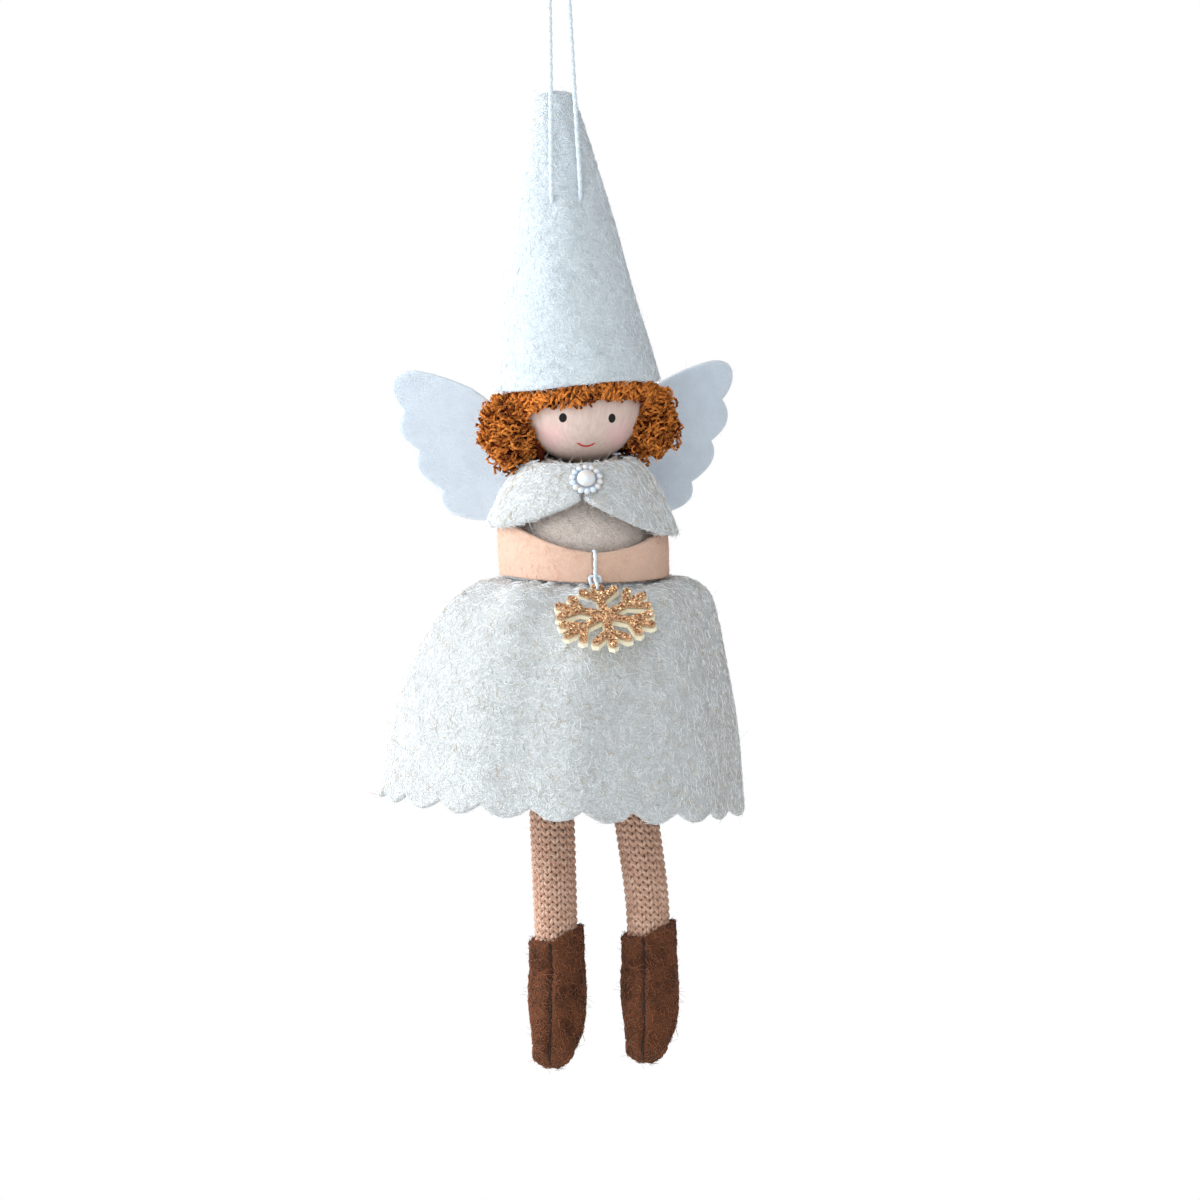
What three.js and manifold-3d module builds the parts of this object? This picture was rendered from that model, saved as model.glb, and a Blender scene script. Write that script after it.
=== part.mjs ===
// A felt angel ornament that hangs from a cord loop: a wooden ball head under a tall felt hat, a cape, arms,
// a gathered skirt and wings of felt, knitted legs in felt boots, and a snowflake charm on a thread.
// Millimetres, +Z up, the angel faces -Y. The origin is where the cord loop hangs on its hook.
import * as THREE from "three";
import { mergeVertices } from "three/addons/utils/BufferGeometryUtils.js";
import Module from "manifold-3d";

const wasm = await Module();
wasm.setup();
const { degToRad, lerp, smoothstep } = THREE.MathUtils;

// Driving dimensions
const GAP = 0.3; // clearance between pieces that lie against each other

const BODICE_HEIGHT = 27; // from the waist up to the neck
const WAIST_RADIUS = 12.6;
const NECK_RADIUS = 7.5;
const NECK_DIP = 1.6; // the neckline is this much lower under the chin
const CHEST_SWELL = 2.6; // how far the stuffed chest stands out
const BODICE_FELT = 1.2;
const BASE_FELT = 1.5; // the disc that closes the bodice below

const HEAD_RADIUS = 12.5; // a 25 mm wooden ball
const HEAD_SIDE = 0.6; // the ball sits this far to the angel's left
const HEAD_LEAN = degToRad(-2.5); // and leans to its right
const PEG_RADIUS = 2;
const PEG_DEPTH = 9; // into the ball, and as far into the stuffing

const HAT_HEIGHT = 58;
const HAT_TIP_RADIUS = 3.4;
const HAT_FELT = 1.3;
const HAT_BULGE = 0.5; // how far the cone's side swells
const HAT_ROOM = 2.6; // for yarn between the ball and the brim
const HAT_SIDE = -0.5; // the hat is pulled this far to the angel's right
const BRIM_RISE = 3.4; // brim above the ball's centre

const BUNCH_WIDTH = 12; // side bunches of curls
const BUNCH_DEPTH = 13;
const BUNCH_HEIGHT = 15;
const BUNCH_DROP = 5; // below the ball's centre
const RIGHT_BUNCH_OUT = 2; // middle of the bunch outside the ball
const LEFT_BUNCH_OUT = 0.8;
const FRINGE_THICKNESS = 4.2;
const FRINGE_HEIGHT = 4.4;
const BACK_HAIR_HEIGHT = 13;
const FRINGE_HALF_ANGLE = degToRad(68); // each side of the face
const CURL_DEPTH = 0.13; // ripple of the curls, as a share of a bunch's radius

const ARM_FELT = 1.2;
const ARM_RISE = 3; // lower edge above the waist
const SLEEVE_HEIGHT = 11; // top of the strip at the shoulders, from the lower edge in front
const ARM_LIFT = 0.9; // the lower edge is this much higher at the sides
const ARM_LEVEL = 0.45; // share of the sag that is gone at the lower edge
const HAND_HEIGHT = 5.2; // strip height where the hands meet
const ARM_EASE = 0.4; // between the waist tie and the strip
const HAND_GAP = 0.4; // between the two ends

const CAPE_FELT = 1.3;
const CAPE_EASE = 0.9; // outside the arms at the hem
const CAPE_OVERLAP = 0.8; // over the top of the arms
const CAPE_APEX = 0.53; // share of the cape's height where its fronts part
const CAPE_PARTING = degToRad(58); // where a front edge has reached the hem
const CAPE_TURN = degToRad(-6); // the parting is turned this far to the angel's right
const COLLAR_START = 0.02; // share of the cape's height where its top edge lies
const COLLAR_DIP = 0.075; // the same below the chin
const TORSO_SAG = degToRad(4.6); // cape hem and arms hang lower at the angel's left

const BROOCH_HEIGHT = 0.34; // share of the cape's height, from the neck
const BROOCH_TURN = degToRad(-3); // to the angel's right
const BROOCH_RADIUS = 2.7; // ring of small pearls
const BEAD_RADIUS = 0.65;
const BEAD_COUNT = 14;
const BROOCH_PLATE = 0.8;
const PEARL_RADIUS = 1.8;

const WING_FELT = 1;
const WING_SWEEP = degToRad(20); // backwards from the tab
const WING_LEAN = degToRad(12); // top forwards
const TAB_WIDTH = 9;
const TAB_HEIGHT = 13;
const TAB_RISE = 14.5; // above the waist
const WING_SPAN = 38; // from the middle of the tab
const WING_HEIGHT = 30.1; // from the foot of the tab

const SKIRT_FELT = 1.4;
const SKIRT_LENGTH = 42.7;
const SKIRT_RISE = 3; // top edge above the waist
const SKIRT_EASE = 0.5; // round the bodice
const SHELF_RADIUS = 22.5; // where the gathers turn over
const SHELF_DROP = 4.9;
const SHELF_PUFF = 3; // the shelf stands this much higher at the two sides
const SHELF_SKEW = 0.45; // and by this share more at the angel's left
const HIP_RADIUS = 27.4; // where the cloth starts to hang
const HIP_DROP = 10.5;
const BELLY_RADIUS = 33.1;
const BELLY_DROP = 26.2;
const HEM_RADIUS = 36;
const SKIRT_SIDE = -2.3; // the cloth below the hips hangs this far to the angel's right
const SKIRT_LEAN = degToRad(5); // the skirt hangs out to the angel's right
const FOLD_COUNT = 9;
const FOLD_DEPTH = 0.7;
const SCALLOP_COUNT = 22;
const SCALLOP_DEPTH = 2.2;
const TIE_DIAMETER = 0.5; // gathering thread

const HIP_SPACING = 16.4;
const HIP_KNOT_RADIUS = 1.3;
const LEG_LENGTH = 68; // from the drawn-in top to the end inside the boot
const LEG_RADIUS = 4.2;
const LEG_SWELL = 0.25; // extra radius half way down
const LEFT_LEG_BOW = 2.3; // the left leg bends outwards by this much
const KNIT_WALL = 0.9;
const LEG_IN_BOOT = 4.5;

const BOOT_FELT = 1;
const BOOT_SHAFT = 8.5; // cuff to ankle
const BOOT_FOOT = 17.4; // ankle to toe, along the foot
const BOOT_POINT = degToRad(38); // the foot hangs this far forward of straight down
const BOOT_TURN = degToRad(-20); // both feet turn to the angel's right
const CUFF_SLANT = degToRad(15); // the cuffs rise to the angel's left
const INSTEP_WIDTH = 12;
const INSTEP_DEPTH = 10.5;
const TOE_WIDTH = 8.5;
const TOE_DEPTH = 6.5;

const CHARM_RADIUS = 10.5;
const CHARM_ROLL = degToRad(-5); // the charm lies with its right edge low
const CHARM_ARM_WIDTH = 1.9;
const PRONG_REACH = 0.5; // share of the arm where its prongs leave
const PRONG_LENGTH = 0.44; // share of the arm
const PRONG_BEND = degToRad(48);
const CHARM_BACK = 0.8; // thickness of the backing
const CHARM_GLITTER = 0.5; // thickness of the glitter face
const CHARM_HOLE_RADIUS = 0.8;
const CHARM_EYE = 0.8; // of card left round the hole
const CHARM_HOLE_REACH = 0.82; // share of the arm's length
const LOOP_THREAD = 0.7;
const LOOP_LENGTH = 5.4; // charm thread, from the hands to the charm's hole

const CORD_DIAMETER = 0.9;
const CORD_KNOT_RADIUS = 1.6;
const KNOT_ROOM = 0.9; // round the knot, wide enough to reach the ends of the cord
const LOOP_ABOVE_TIP = 49; // hook above the tip of the hat
const LOOP_SIDE = 2; // the loop hangs this far to the angel's right of the body

// Materials, by what the pieces are made of
function finish(color, roughness = 0.95, metalness = 0) {
  return new THREE.MeshStandardMaterial({ color, roughness, metalness });
}
const WHITE_FELT = finish(0xf1efea);
const BODICE_BEIGE = finish(0xcfc2b8);
const SKIN_FELT = finish(0xf3c3a4);
const PAINTED_WOOD = finish(0xebc9b4, 0.6);
const YARN = finish(0xa85c22);
const KNIT = finish(0xb58e7a);
const BOOT_BROWN = finish(0x7a4a2e);
const WADDING = finish(0xf4f2ec);
const PLAIN_WOOD = finish(0xd8b98a, 0.7);
const PEARL = finish(0xf2efe8, 0.2);
const CORD_WHITE = finish(0xe6eef2, 0.6);
const CREAM_CARD = finish(0xf0e6c0, 0.6);
const GOLD_GLITTER = finish(0xb5763a, 0.35, 0.6);

// Geometry helpers

// Turns every face round if the closed surface encloses a negative volume.
function outward(geometry) {
  const merged = mergeVertices(positionsOnly(geometry), 1e-4);
  const p = merged.attributes.position;
  const index = merged.index.array;
  const [a, b, c] = [0, 1, 2].map(() => new THREE.Vector3());
  let volume = 0;
  for (let i = 0; i < index.length; i += 3) {
    a.fromBufferAttribute(p, index[i]);
    b.fromBufferAttribute(p, index[i + 1]);
    c.fromBufferAttribute(p, index[i + 2]);
    volume += a.dot(b.cross(c));
  }
  if (volume < 0) {
    for (let i = 0; i < index.length; i += 3) {
      [index[i + 1], index[i + 2]] = [index[i + 2], index[i + 1]];
    }
  }
  return merged;
}

function positionsOnly(geometry) {
  const plain = geometry.clone();
  plain.deleteAttribute("normal");
  plain.deleteAttribute("uv");
  return plain;
}

function solidOf(geometry) {
  const merged = outward(geometry);
  return new wasm.Manifold(
    new wasm.Mesh({
      numProp: 3,
      vertProperties: new Float32Array(merged.attributes.position.array),
      triVerts: new Uint32Array(merged.index.array),
    }),
  );
}

function geometryOf(solid) {
  const { vertProperties, triVerts } = solid.getMesh();
  const geometry = new THREE.BufferGeometry();
  geometry.setAttribute("position", new THREE.BufferAttribute(vertProperties, 3));
  geometry.setIndex(new THREE.BufferAttribute(triVerts, 1));
  return geometry;
}

function cut(geometry, ...cutters) {
  return geometryOf(cutters.reduce((rest, cutter) => rest.subtract(solidOf(cutter)), solidOf(geometry)));
}

function join(...geometries) {
  return geometryOf(geometries.map(solidOf).reduce((whole, piece) => whole.add(piece)));
}

function common(first, second) {
  return geometryOf(solidOf(first).intersect(solidOf(second)));
}

// A solid of revolution about Z. The outline is [radius, height] pairs that start and end on the axis,
// or close on themselves.
function revolve(outline, segments = 32) {
  const points = outline.map(([radius, height]) => new THREE.Vector2(radius, height));
  return outward(new THREE.LatheGeometry(points, segments).rotateX(Math.PI / 2));
}

// Closes the surfaces through a list of rings, each a list of points going the same way round.
// Ends are closed by fans, or the last ring joins the first.
function loft(rings, joinEnds = false) {
  const size = rings[0].length;
  const positions = rings.flat().flatMap((p) => [p.x, p.y, p.z]);
  const index = [];
  const spans = joinEnds ? rings.length : rings.length - 1;
  for (let k = 0; k < spans; k++) {
    const next = (k + 1) % rings.length;
    for (let i = 0; i < size; i++) {
      const j = (i + 1) % size;
      const [a, b, c, d] = [k * size + i, k * size + j, next * size + j, next * size + i];
      index.push(a, b, c, a, c, d);
    }
  }
  if (!joinEnds) {
    [0, rings.length - 1].forEach((k) => {
      const middle = new THREE.Vector3();
      rings[k].forEach((p) => middle.addScaledVector(p, 1 / size));
      const hub = positions.length / 3;
      positions.push(middle.x, middle.y, middle.z);
      for (let i = 0; i < size; i++) {
        const pair = [k * size + i, k * size + ((i + 1) % size)];
        index.push(hub, ...(k === 0 ? pair.reverse() : pair));
      }
    });
  }
  const geometry = new THREE.BufferGeometry();
  geometry.setAttribute("position", new THREE.Float32BufferAttribute(positions, 3));
  geometry.setIndex(index);
  return outward(geometry);
}

// A sheet of felt with a real thickness. place(u, v, depth) gives a point of the sheet, with u along it and
// v down it from 0 to 1, and depth the distance below its outer face.
function feltSheet({ along, down, thickness, place, closed }) {
  const positions = [];
  for (const depth of [0, thickness]) {
    for (let j = 0; j <= down; j++) {
      for (let i = 0; i <= along; i++) {
        const p = place(i === along && closed ? 0 : i / along, j / down, depth);
        positions.push(p.x, p.y, p.z);
      }
    }
  }
  const layer = (along + 1) * (down + 1);
  const at = (i, j, inner) => j * (along + 1) + i + (inner ? layer : 0);
  const index = [];
  const quad = (a, b, c, d) => index.push(a, b, c, a, c, d);
  for (let i = 0; i < along; i++) {
    for (let j = 0; j < down; j++) {
      quad(at(i, j), at(i + 1, j), at(i + 1, j + 1), at(i, j + 1));
      quad(at(i, j, true), at(i, j + 1, true), at(i + 1, j + 1, true), at(i + 1, j, true));
    }
    quad(at(i, 0), at(i, 0, true), at(i + 1, 0, true), at(i + 1, 0));
    quad(at(i, down), at(i + 1, down), at(i + 1, down, true), at(i, down, true));
  }
  for (let j = 0; j < down && !closed; j++) {
    quad(at(0, j), at(0, j + 1), at(0, j + 1, true), at(0, j, true));
    quad(at(along, j), at(along, j, true), at(along, j + 1, true), at(along, j + 1));
  }
  const geometry = new THREE.BufferGeometry();
  geometry.setAttribute("position", new THREE.Float32BufferAttribute(positions, 3));
  geometry.setIndex(index);
  return outward(geometry);
}

// A point round the Z axis. Angle 0 is the front, and it grows towards the angel's left.
function around(radius, angle, height) {
  return new THREE.Vector3(radius * Math.sin(angle), -radius * Math.cos(angle), height);
}

// An angle round the body, 0 to 2π, as the turn from the front to either side.
function fromFront(angle) {
  return Math.min(angle, 2 * Math.PI - angle);
}

// The point of a profile at t, moved square to the profile towards the axis by depth. profile(t) is a
// Vector2 of radius and height that runs downwards.
function underProfile(profile, t, depth) {
  const step = 1e-3;
  const tangent = profile(Math.min(1, t + step)).sub(profile(Math.max(0, t - step))).normalize();
  return profile(t).add(new THREE.Vector2(tangent.y, -tangent.x).multiplyScalar(depth));
}

function polygon(radius, sides) {
  const corners = Array.from({ length: sides }, (_, i) => (2 * Math.PI * i) / sides);
  return new THREE.Shape(
    corners.map((a) => new THREE.Vector2(radius * Math.cos(a), radius * Math.sin(a))),
  );
}

function tube(path, radius, steps, sides) {
  return outward(
    new THREE.ExtrudeGeometry(polygon(radius, sides), { steps, extrudePath: path, bevelEnabled: false }),
  );
}

// A ring of thread along a closed curve.
function threadRing(curve, radius, steps, sides) {
  const frames = curve.computeFrenetFrames(steps, true);
  const rings = Array.from({ length: steps }, (_, k) => {
    const centre = curve.getPointAt(k / steps);
    return Array.from({ length: sides }, (__, i) => {
      const angle = (2 * Math.PI * i) / sides;
      return centre
        .clone()
        .addScaledVector(frames.normals[k], radius * Math.cos(angle))
        .addScaledVector(frames.binormals[k], radius * Math.sin(angle));
    });
  });
  return loft(rings, true);
}

function upright(geometry) {
  return geometry.rotateX(Math.PI / 2);
}

function cylinder(radius, bottom, top, segments = 24) {
  const made = upright(new THREE.CylinderGeometry(radius, radius, top - bottom, segments));
  return made.translate(0, 0, (top + bottom) / 2);
}

function ball(radius, across = 24, up = 16) {
  return upright(new THREE.SphereGeometry(radius, across, up));
}

function named(name, geometry, material) {
  const mesh = new THREE.Mesh(geometry, material);
  mesh.name = name;
  return mesh;
}

// Where the pieces sit, worked out from the driving dimensions
const neckInside = NECK_RADIUS - BODICE_FELT;
const headHeight =
  BODICE_HEIGHT + Math.sqrt((HEAD_RADIUS + GAP) ** 2 - (neckInside - HEAD_SIDE) ** 2);
const brimRadius = HEAD_RADIUS + HAT_ROOM + HAT_FELT;
const skirtNeck = WAIST_RADIUS + SKIRT_EASE + SKIRT_FELT;
const tieRadius = skirtNeck + GAP + TIE_DIAMETER / 2;
const armRadius = tieRadius + TIE_DIAMETER / 2 + ARM_EASE + ARM_FELT;
const armTop = ARM_RISE + SLEEVE_HEIGHT;
const capeTop = BODICE_HEIGHT;
const capeHem = armTop - CAPE_OVERLAP;
const capeNeckRadius = NECK_RADIUS + GAP + CAPE_FELT;
const capeHemRadius = armRadius + CAPE_EASE + CAPE_FELT;
const hipHeight = -GAP - BASE_FELT - GAP - HIP_KNOT_RADIUS;
const legTop = -HIP_KNOT_RADIUS - GAP; // below the hip
const cuffHeight = legTop - LEG_LENGTH + LEG_IN_BOOT;

const headFrame = new THREE.Matrix4()
  .makeTranslation(HEAD_SIDE, 0, headHeight)
  .multiply(new THREE.Matrix4().makeRotationY(HEAD_LEAN));
const tipInAngel = new THREE.Vector3(HAT_SIDE, 0, BRIM_RISE + HAT_HEIGHT).applyMatrix4(headFrame);

// Hanging cord

// The cord's route, from its end at the knot inside the hat, out through the felt, round the hook and back.
const CORD_STRAND = [
  [-1.75, 3.85, -72.2],
  [-2.35, 2.5, -72],
  [-2.75, 1.2, -71.3],
  [-2.85, 0.35, -69.9],
  [-2.85, 0.05, -67.5],
  [-2.75, 0, -63],
  [-2.5, 0, -55],
  [-2.2, 0, -44],
  [-1.95, 0, -32],
  [-1.85, 0, -20],
  [-1.8, 0, -10],
  [-1.8, 0, -4],
  [-1.8, 0, -1.35],
  [-1.27, 0, -0.08],
];
const CORD_BIGHT = [0, 0, 0.45];
const CORD_KNOT = [0, 5.4, -72.4];

function cordPath() {
  const mirrored = CORD_STRAND.map(([x, y, z]) => [-x, y, z]).reverse();
  const points = [...CORD_STRAND, CORD_BIGHT, ...mirrored];
  return new THREE.CatmullRomCurve3(points.map((p) => new THREE.Vector3(...p)));
}

const CORD_STEPS = 60;

function cordTube(radius) {
  return tube(cordPath(), radius, CORD_STEPS, 8);
}

function cordKnot(radius) {
  return ball(radius, 10, 8).translate(...CORD_KNOT);
}

// The angel hangs below the hook, with the strands just clear of the front of the hat.
const strandsBehind = 8.9; // from the strands back to the middle of the body
const angel = new THREE.Group();
angel.position.set(LOOP_SIDE, strandsBehind, -LOOP_ABOVE_TIP - tipInAngel.z);
angel.updateMatrix();

function fromHook(geometry, frame) {
  const toPiece = angel.matrix.clone().multiply(frame).invert();
  return geometry.clone().applyMatrix4(toPiece);
}

// Body

// Outline of the bodice from the neck at t = 0 down to the waist, full at the chest.
function bodiceProfile(t) {
  const up = 1 - t;
  const swell = CHEST_SWELL * smoothstep(up, 0.15, 0.45) * (1 - smoothstep(up, 0.5, 0.9));
  return new THREE.Vector2(lerp(WAIST_RADIUS, NECK_RADIUS, up ** 2.2) + swell, BODICE_HEIGHT * up);
}

function makeBodice() {
  return feltSheet({
    along: 24,
    down: 8,
    thickness: BODICE_FELT,
    closed: true,
    place: (u, v, depth) => {
      const angle = 2 * Math.PI * u;
      const wall = bodiceProfile(v);
      const dip = NECK_DIP * (1 - smoothstep(fromFront(angle), 0, Math.PI / 2)) * (1 - v) ** 2;
      return around(wall.x - depth, angle, wall.y - dip);
    },
  });
}

function makeBodiceStuffing() {
  const top = Math.min(headHeight - HEAD_RADIUS - GAP, BODICE_HEIGHT - NECK_DIP);
  const rows = 8;
  const outline = [[0, 0]];
  for (let i = 0; i <= rows; i++) {
    const height = (top * i) / rows;
    const up = height / BODICE_HEIGHT;
    const wall = bodiceProfile(1 - Math.min(1, up + (NECK_DIP / BODICE_HEIGHT) * up ** 2));
    outline.push([wall.x - BODICE_FELT - 2 * GAP, height]);
  }
  outline.push([0, top]);
  return cut(revolve(outline, 24), pegShape(PEG_RADIUS + GAP));
}

// The peg, or the hole that it needs, along the angel's upright under the middle of the ball.
function pegShape(radius) {
  const bottomOfBall = headHeight - HEAD_RADIUS;
  const clearance = radius - PEG_RADIUS;
  return cylinder(
    radius,
    bottomOfBall - PEG_DEPTH - clearance,
    bottomOfBall + PEG_DEPTH + clearance,
  ).translate(HEAD_SIDE, 0, 0);
}

function makeBaseDisc() {
  return cylinder(WAIST_RADIUS, -GAP - BASE_FELT, -GAP, 32);
}

// Head, hair and hat, in the frame of the leaning ball

function makeHead() {
  const hole = pegShape(PEG_RADIUS + GAP).applyMatrix4(headFrame.clone().invert());
  return cut(ball(HEAD_RADIUS, 28, 18), hole);
}

function hatRadius(height) {
  const up = height / HAT_HEIGHT;
  return lerp(brimRadius, HAT_TIP_RADIUS, up) + HAT_BULGE * Math.sin(Math.PI * up);
}

// The hat's outer outline, from the axis at its blunt tip down to the brim, grown by extra.
function hatOutline(extra) {
  const tipRounding = HAT_TIP_RADIUS * 0.45;
  const rows = 6;
  const outline = [
    [0, HAT_HEIGHT + extra],
    [HAT_TIP_RADIUS - tipRounding + extra, HAT_HEIGHT + extra],
  ];
  for (let i = 0; i <= rows; i++) {
    const height = (HAT_HEIGHT - tipRounding) * (1 - i / rows);
    outline.push([hatRadius(height) + extra, height]);
  }
  return outline;
}

function makeHat() {
  const outside = hatOutline(0);
  const inside = hatOutline(-HAT_FELT).reverse();
  const shell = revolve([...outside, ...inside], 30).translate(HAT_SIDE, 0, BRIM_RISE);
  return cut(shell, fromHook(cordTube(CORD_DIAMETER / 2 + GAP), headFrame));
}

// Wadding that keeps the cone full above the ball, with room for the cord and its knot.
function makeHatStuffing() {
  const inside = hatOutline(-HAT_FELT - GAP);
  const bottom = HEAD_RADIUS + GAP - BRIM_RISE;
  const kept = inside.filter(([, height]) => height > bottom);
  const outline = [...kept, [hatRadius(bottom) - HAT_FELT - GAP, bottom], [0, bottom]];
  const cutters = [cordTube(CORD_DIAMETER / 2 + GAP), cordKnot(CORD_KNOT_RADIUS + KNOT_ROOM)];
  return cut(
    revolve(outline, 18).translate(HAT_SIDE, 0, BRIM_RISE),
    ...cutters.map((g) => fromHook(g, headFrame)),
  );
}

function hatRoom() {
  const outline = hatOutline(GAP);
  const room = revolve([...outline, [hatRadius(0) + GAP, -GAP], [0, -GAP]], 24);
  return room.translate(HAT_SIDE, 0, BRIM_RISE);
}

// Cape and arms hang lower towards the angel's left, from nothing at the neck to the full sag at the hem.
function sagged(point, weight = 1) {
  const share = weight * THREE.MathUtils.clamp((capeTop - point.z) / (capeTop - capeHem), 0, 1);
  point.z -= point.x * Math.tan(TORSO_SAG) * share;
  return point;
}

function saggedAll(geometry) {
  const p = geometry.attributes.position;
  for (let i = 0; i < p.count; i++) {
    p.setZ(i, sagged(new THREE.Vector3().fromBufferAttribute(p, i)).z);
  }
  return geometry;
}

function capeRoom() {
  const rows = 10;
  const outline = [[0, capeTop + GAP]];
  for (let i = 1; i <= rows; i++) {
    const wall = underProfile(capeProfile, (i / rows) ** 2, -GAP);
    outline.push([wall.x, wall.y]);
  }
  outline.push([0, capeHem - GAP]);
  return saggedAll(revolve(outline)).applyMatrix4(headFrame.clone().invert());
}

// A bunch of curls: an egg whose skin ripples, grown all round by extra.
function bunch(side, extra) {
  const egg = ball(1, 18, 11);
  const p = egg.attributes.position;
  const q = new THREE.Vector3();
  for (let i = 0; i < p.count; i++) {
    q.fromBufferAttribute(p, i);
    const turn = Math.atan2(q.y, q.x);
    const fall = Math.acos(THREE.MathUtils.clamp(q.z, -1, 1));
    q.multiplyScalar(1 + CURL_DEPTH * Math.sin(5 * turn) * Math.sin(4 * fall));
    q.set(
      q.x * (BUNCH_WIDTH / 2 + extra),
      q.y * (BUNCH_DEPTH / 2 + extra),
      q.z * (BUNCH_HEIGHT / 2 + extra),
    );
    p.setXYZ(i, q.x, q.y, q.z);
  }
  const out = side < 0 ? RIGHT_BUNCH_OUT : LEFT_BUNCH_OUT;
  return egg.translate(side * (HEAD_RADIUS + out), 0, -BUNCH_DROP);
}

function makeBunch(side) {
  return cut(bunch(side, 0), ball(HEAD_RADIUS + 2 * GAP, 20, 14), hatRoom(), capeRoom());
}

// A band of curls round the ball from one angle to another, its thickness rippling along it.
function hairBand({ from, to, height, middle, ripples }) {
  const steps = 24;
  const sides = 8;
  const rings = Array.from({ length: steps + 1 }, (_, k) => {
    const along = k / steps;
    const angle = lerp(from, to, along);
    const swell = 1 + CURL_DEPTH * Math.sin(2 * Math.PI * ripples * along);
    return Array.from({ length: sides }, (__, i) => {
      const turn = (2 * Math.PI * i) / sides;
      const radius = HEAD_RADIUS + FRINGE_THICKNESS * (0.28 + 0.5 * swell * Math.cos(turn));
      return around(radius, angle, middle + (height / 2) * swell * Math.sin(turn));
    });
  });
  const bunches = [-1, 1].map((side) => bunch(side, GAP));
  return cut(loft(rings), ball(HEAD_RADIUS + 2 * GAP, 20, 14), hatRoom(), capeRoom(), ...bunches);
}

function makeFringe() {
  return hairBand({
    from: -FRINGE_HALF_ANGLE,
    to: FRINGE_HALF_ANGLE,
    height: FRINGE_HEIGHT,
    middle: BRIM_RISE - FRINGE_HEIGHT * 0.3,
    ripples: 7,
  });
}

function makeBackHair() {
  return hairBand({
    from: FRINGE_HALF_ANGLE + degToRad(32),
    to: 2 * Math.PI - FRINGE_HALF_ANGLE - degToRad(32),
    height: BACK_HAIR_HEIGHT,
    middle: BRIM_RISE - BACK_HAIR_HEIGHT * 0.5,
    ripples: 7,
  });
}

// Cape and brooch

// Outline of the cape from the neck at t = 0 out over the shoulders to the hem.
function capeProfile(t) {
  return new THREE.Vector2(
    lerp(capeNeckRadius, capeHemRadius, Math.sqrt(t)),
    lerp(capeTop, capeHem, t),
  );
}

// How far down the cape reaches at an angle from the front, as a share of its height: the fronts part below
// the brooch and curve away to the hem.
function capeReach(angle) {
  const parting = Math.max(0, 1 - fromFront(angle) / CAPE_PARTING);
  return 1 - (1 - CAPE_APEX) * parting ** 1.5;
}

// Where the cape's top edge lies at an angle from the front: it dips below the chin.
function capeStart(angle) {
  return lerp(COLLAR_START, COLLAR_DIP, 1 - smoothstep(fromFront(angle), 0, Math.PI / 2));
}

function makeCape() {
  const slit = HAND_GAP / 2 / capeNeckRadius;
  return feltSheet({
    along: 32,
    down: 5,
    thickness: CAPE_FELT,
    closed: false,
    place: (u, v, depth) => {
      const angle = lerp(slit, 2 * Math.PI - slit, u);
      const t = lerp(capeStart(angle), capeReach(angle), v ** 1.6);
      const wall = underProfile(capeProfile, t, depth);
      return sagged(around(wall.x, angle + CAPE_TURN, wall.y));
    },
  });
}

// A frame on the front of the cape whose +Z points straight out of the felt.
function broochFrame() {
  const seat = underProfile(capeProfile, BROOCH_HEIGHT, -GAP);
  const out = underProfile(capeProfile, BROOCH_HEIGHT, -GAP - 1).sub(seat);
  const group = new THREE.Group();
  group.position.copy(sagged(around(seat.x, BROOCH_TURN, seat.y)));
  group.rotation.order = "ZXY";
  group.rotation.set(Math.atan2(out.x, out.y), 0, BROOCH_TURN);
  return group;
}

function makeBroochSetting() {
  const plate = cylinder(BROOCH_RADIUS, 0, BROOCH_PLATE, BEAD_COUNT);
  const beads = Array.from({ length: BEAD_COUNT }, (_, i) =>
    ball(BEAD_RADIUS, 6, 5).applyMatrix4(
      new THREE.Matrix4().setPosition(around(BROOCH_RADIUS, (2 * Math.PI * i) / BEAD_COUNT, BEAD_RADIUS)),
    ),
  );
  return join(plate, ...beads);
}

function makePearl() {
  const pearl = ball(PEARL_RADIUS, 16, 10).translate(0, 0, BROOCH_PLATE + GAP);
  const flat = BROOCH_PLATE + GAP;
  return common(pearl, cylinder(BROOCH_RADIUS, flat, flat + 2 * PEARL_RADIUS));
}

// Arms and the thread that ties the hands

function makeArms() {
  const halfGap = HAND_GAP / 2 / armRadius;
  return feltSheet({
    along: 36,
    down: 2,
    thickness: ARM_FELT,
    closed: false,
    place: (u, v, depth) => {
      const angle = lerp(halfGap, 2 * Math.PI - halfGap, u);
      const sleeve = smoothstep(fromFront(angle), 0, Math.PI / 2);
      const top = ARM_RISE + lerp(HAND_HEIGHT, SLEEVE_HEIGHT, sleeve);
      const low = ARM_RISE + ARM_LIFT * sleeve;
      return sagged(around(armRadius - depth, angle, lerp(top, low, v)), 1 - ARM_LEVEL * v);
    },
  });
}

// A closed round-cornered loop in the YZ plane between two corners.
function loopCurve(back, front, bottom, top) {
  const curve = new THREE.CatmullRomCurve3([], true, "centripetal");
  const corner = Math.min(top - bottom, back - front) * 0.35;
  curve.points = [
    [back, bottom + corner],
    [back, top - corner],
    [back - corner, top],
    [front + corner, top],
    [front, top - corner],
    [front, bottom + corner],
    [front + corner, bottom],
    [back - corner, bottom],
  ].map(([y, z]) => new THREE.Vector3(0, y, z));
  return curve;
}

function makeHandThread() {
  const clear = LOOP_THREAD / 2 + GAP;
  const curve = loopCurve(
    -(armRadius - ARM_FELT) + clear,
    -armRadius - LOOP_THREAD - GAP - clear,
    ARM_RISE - clear,
    ARM_RISE + HAND_HEIGHT + clear,
  );
  return threadRing(curve, LOOP_THREAD / 2, 24, 5);
}

// Skirt

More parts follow.
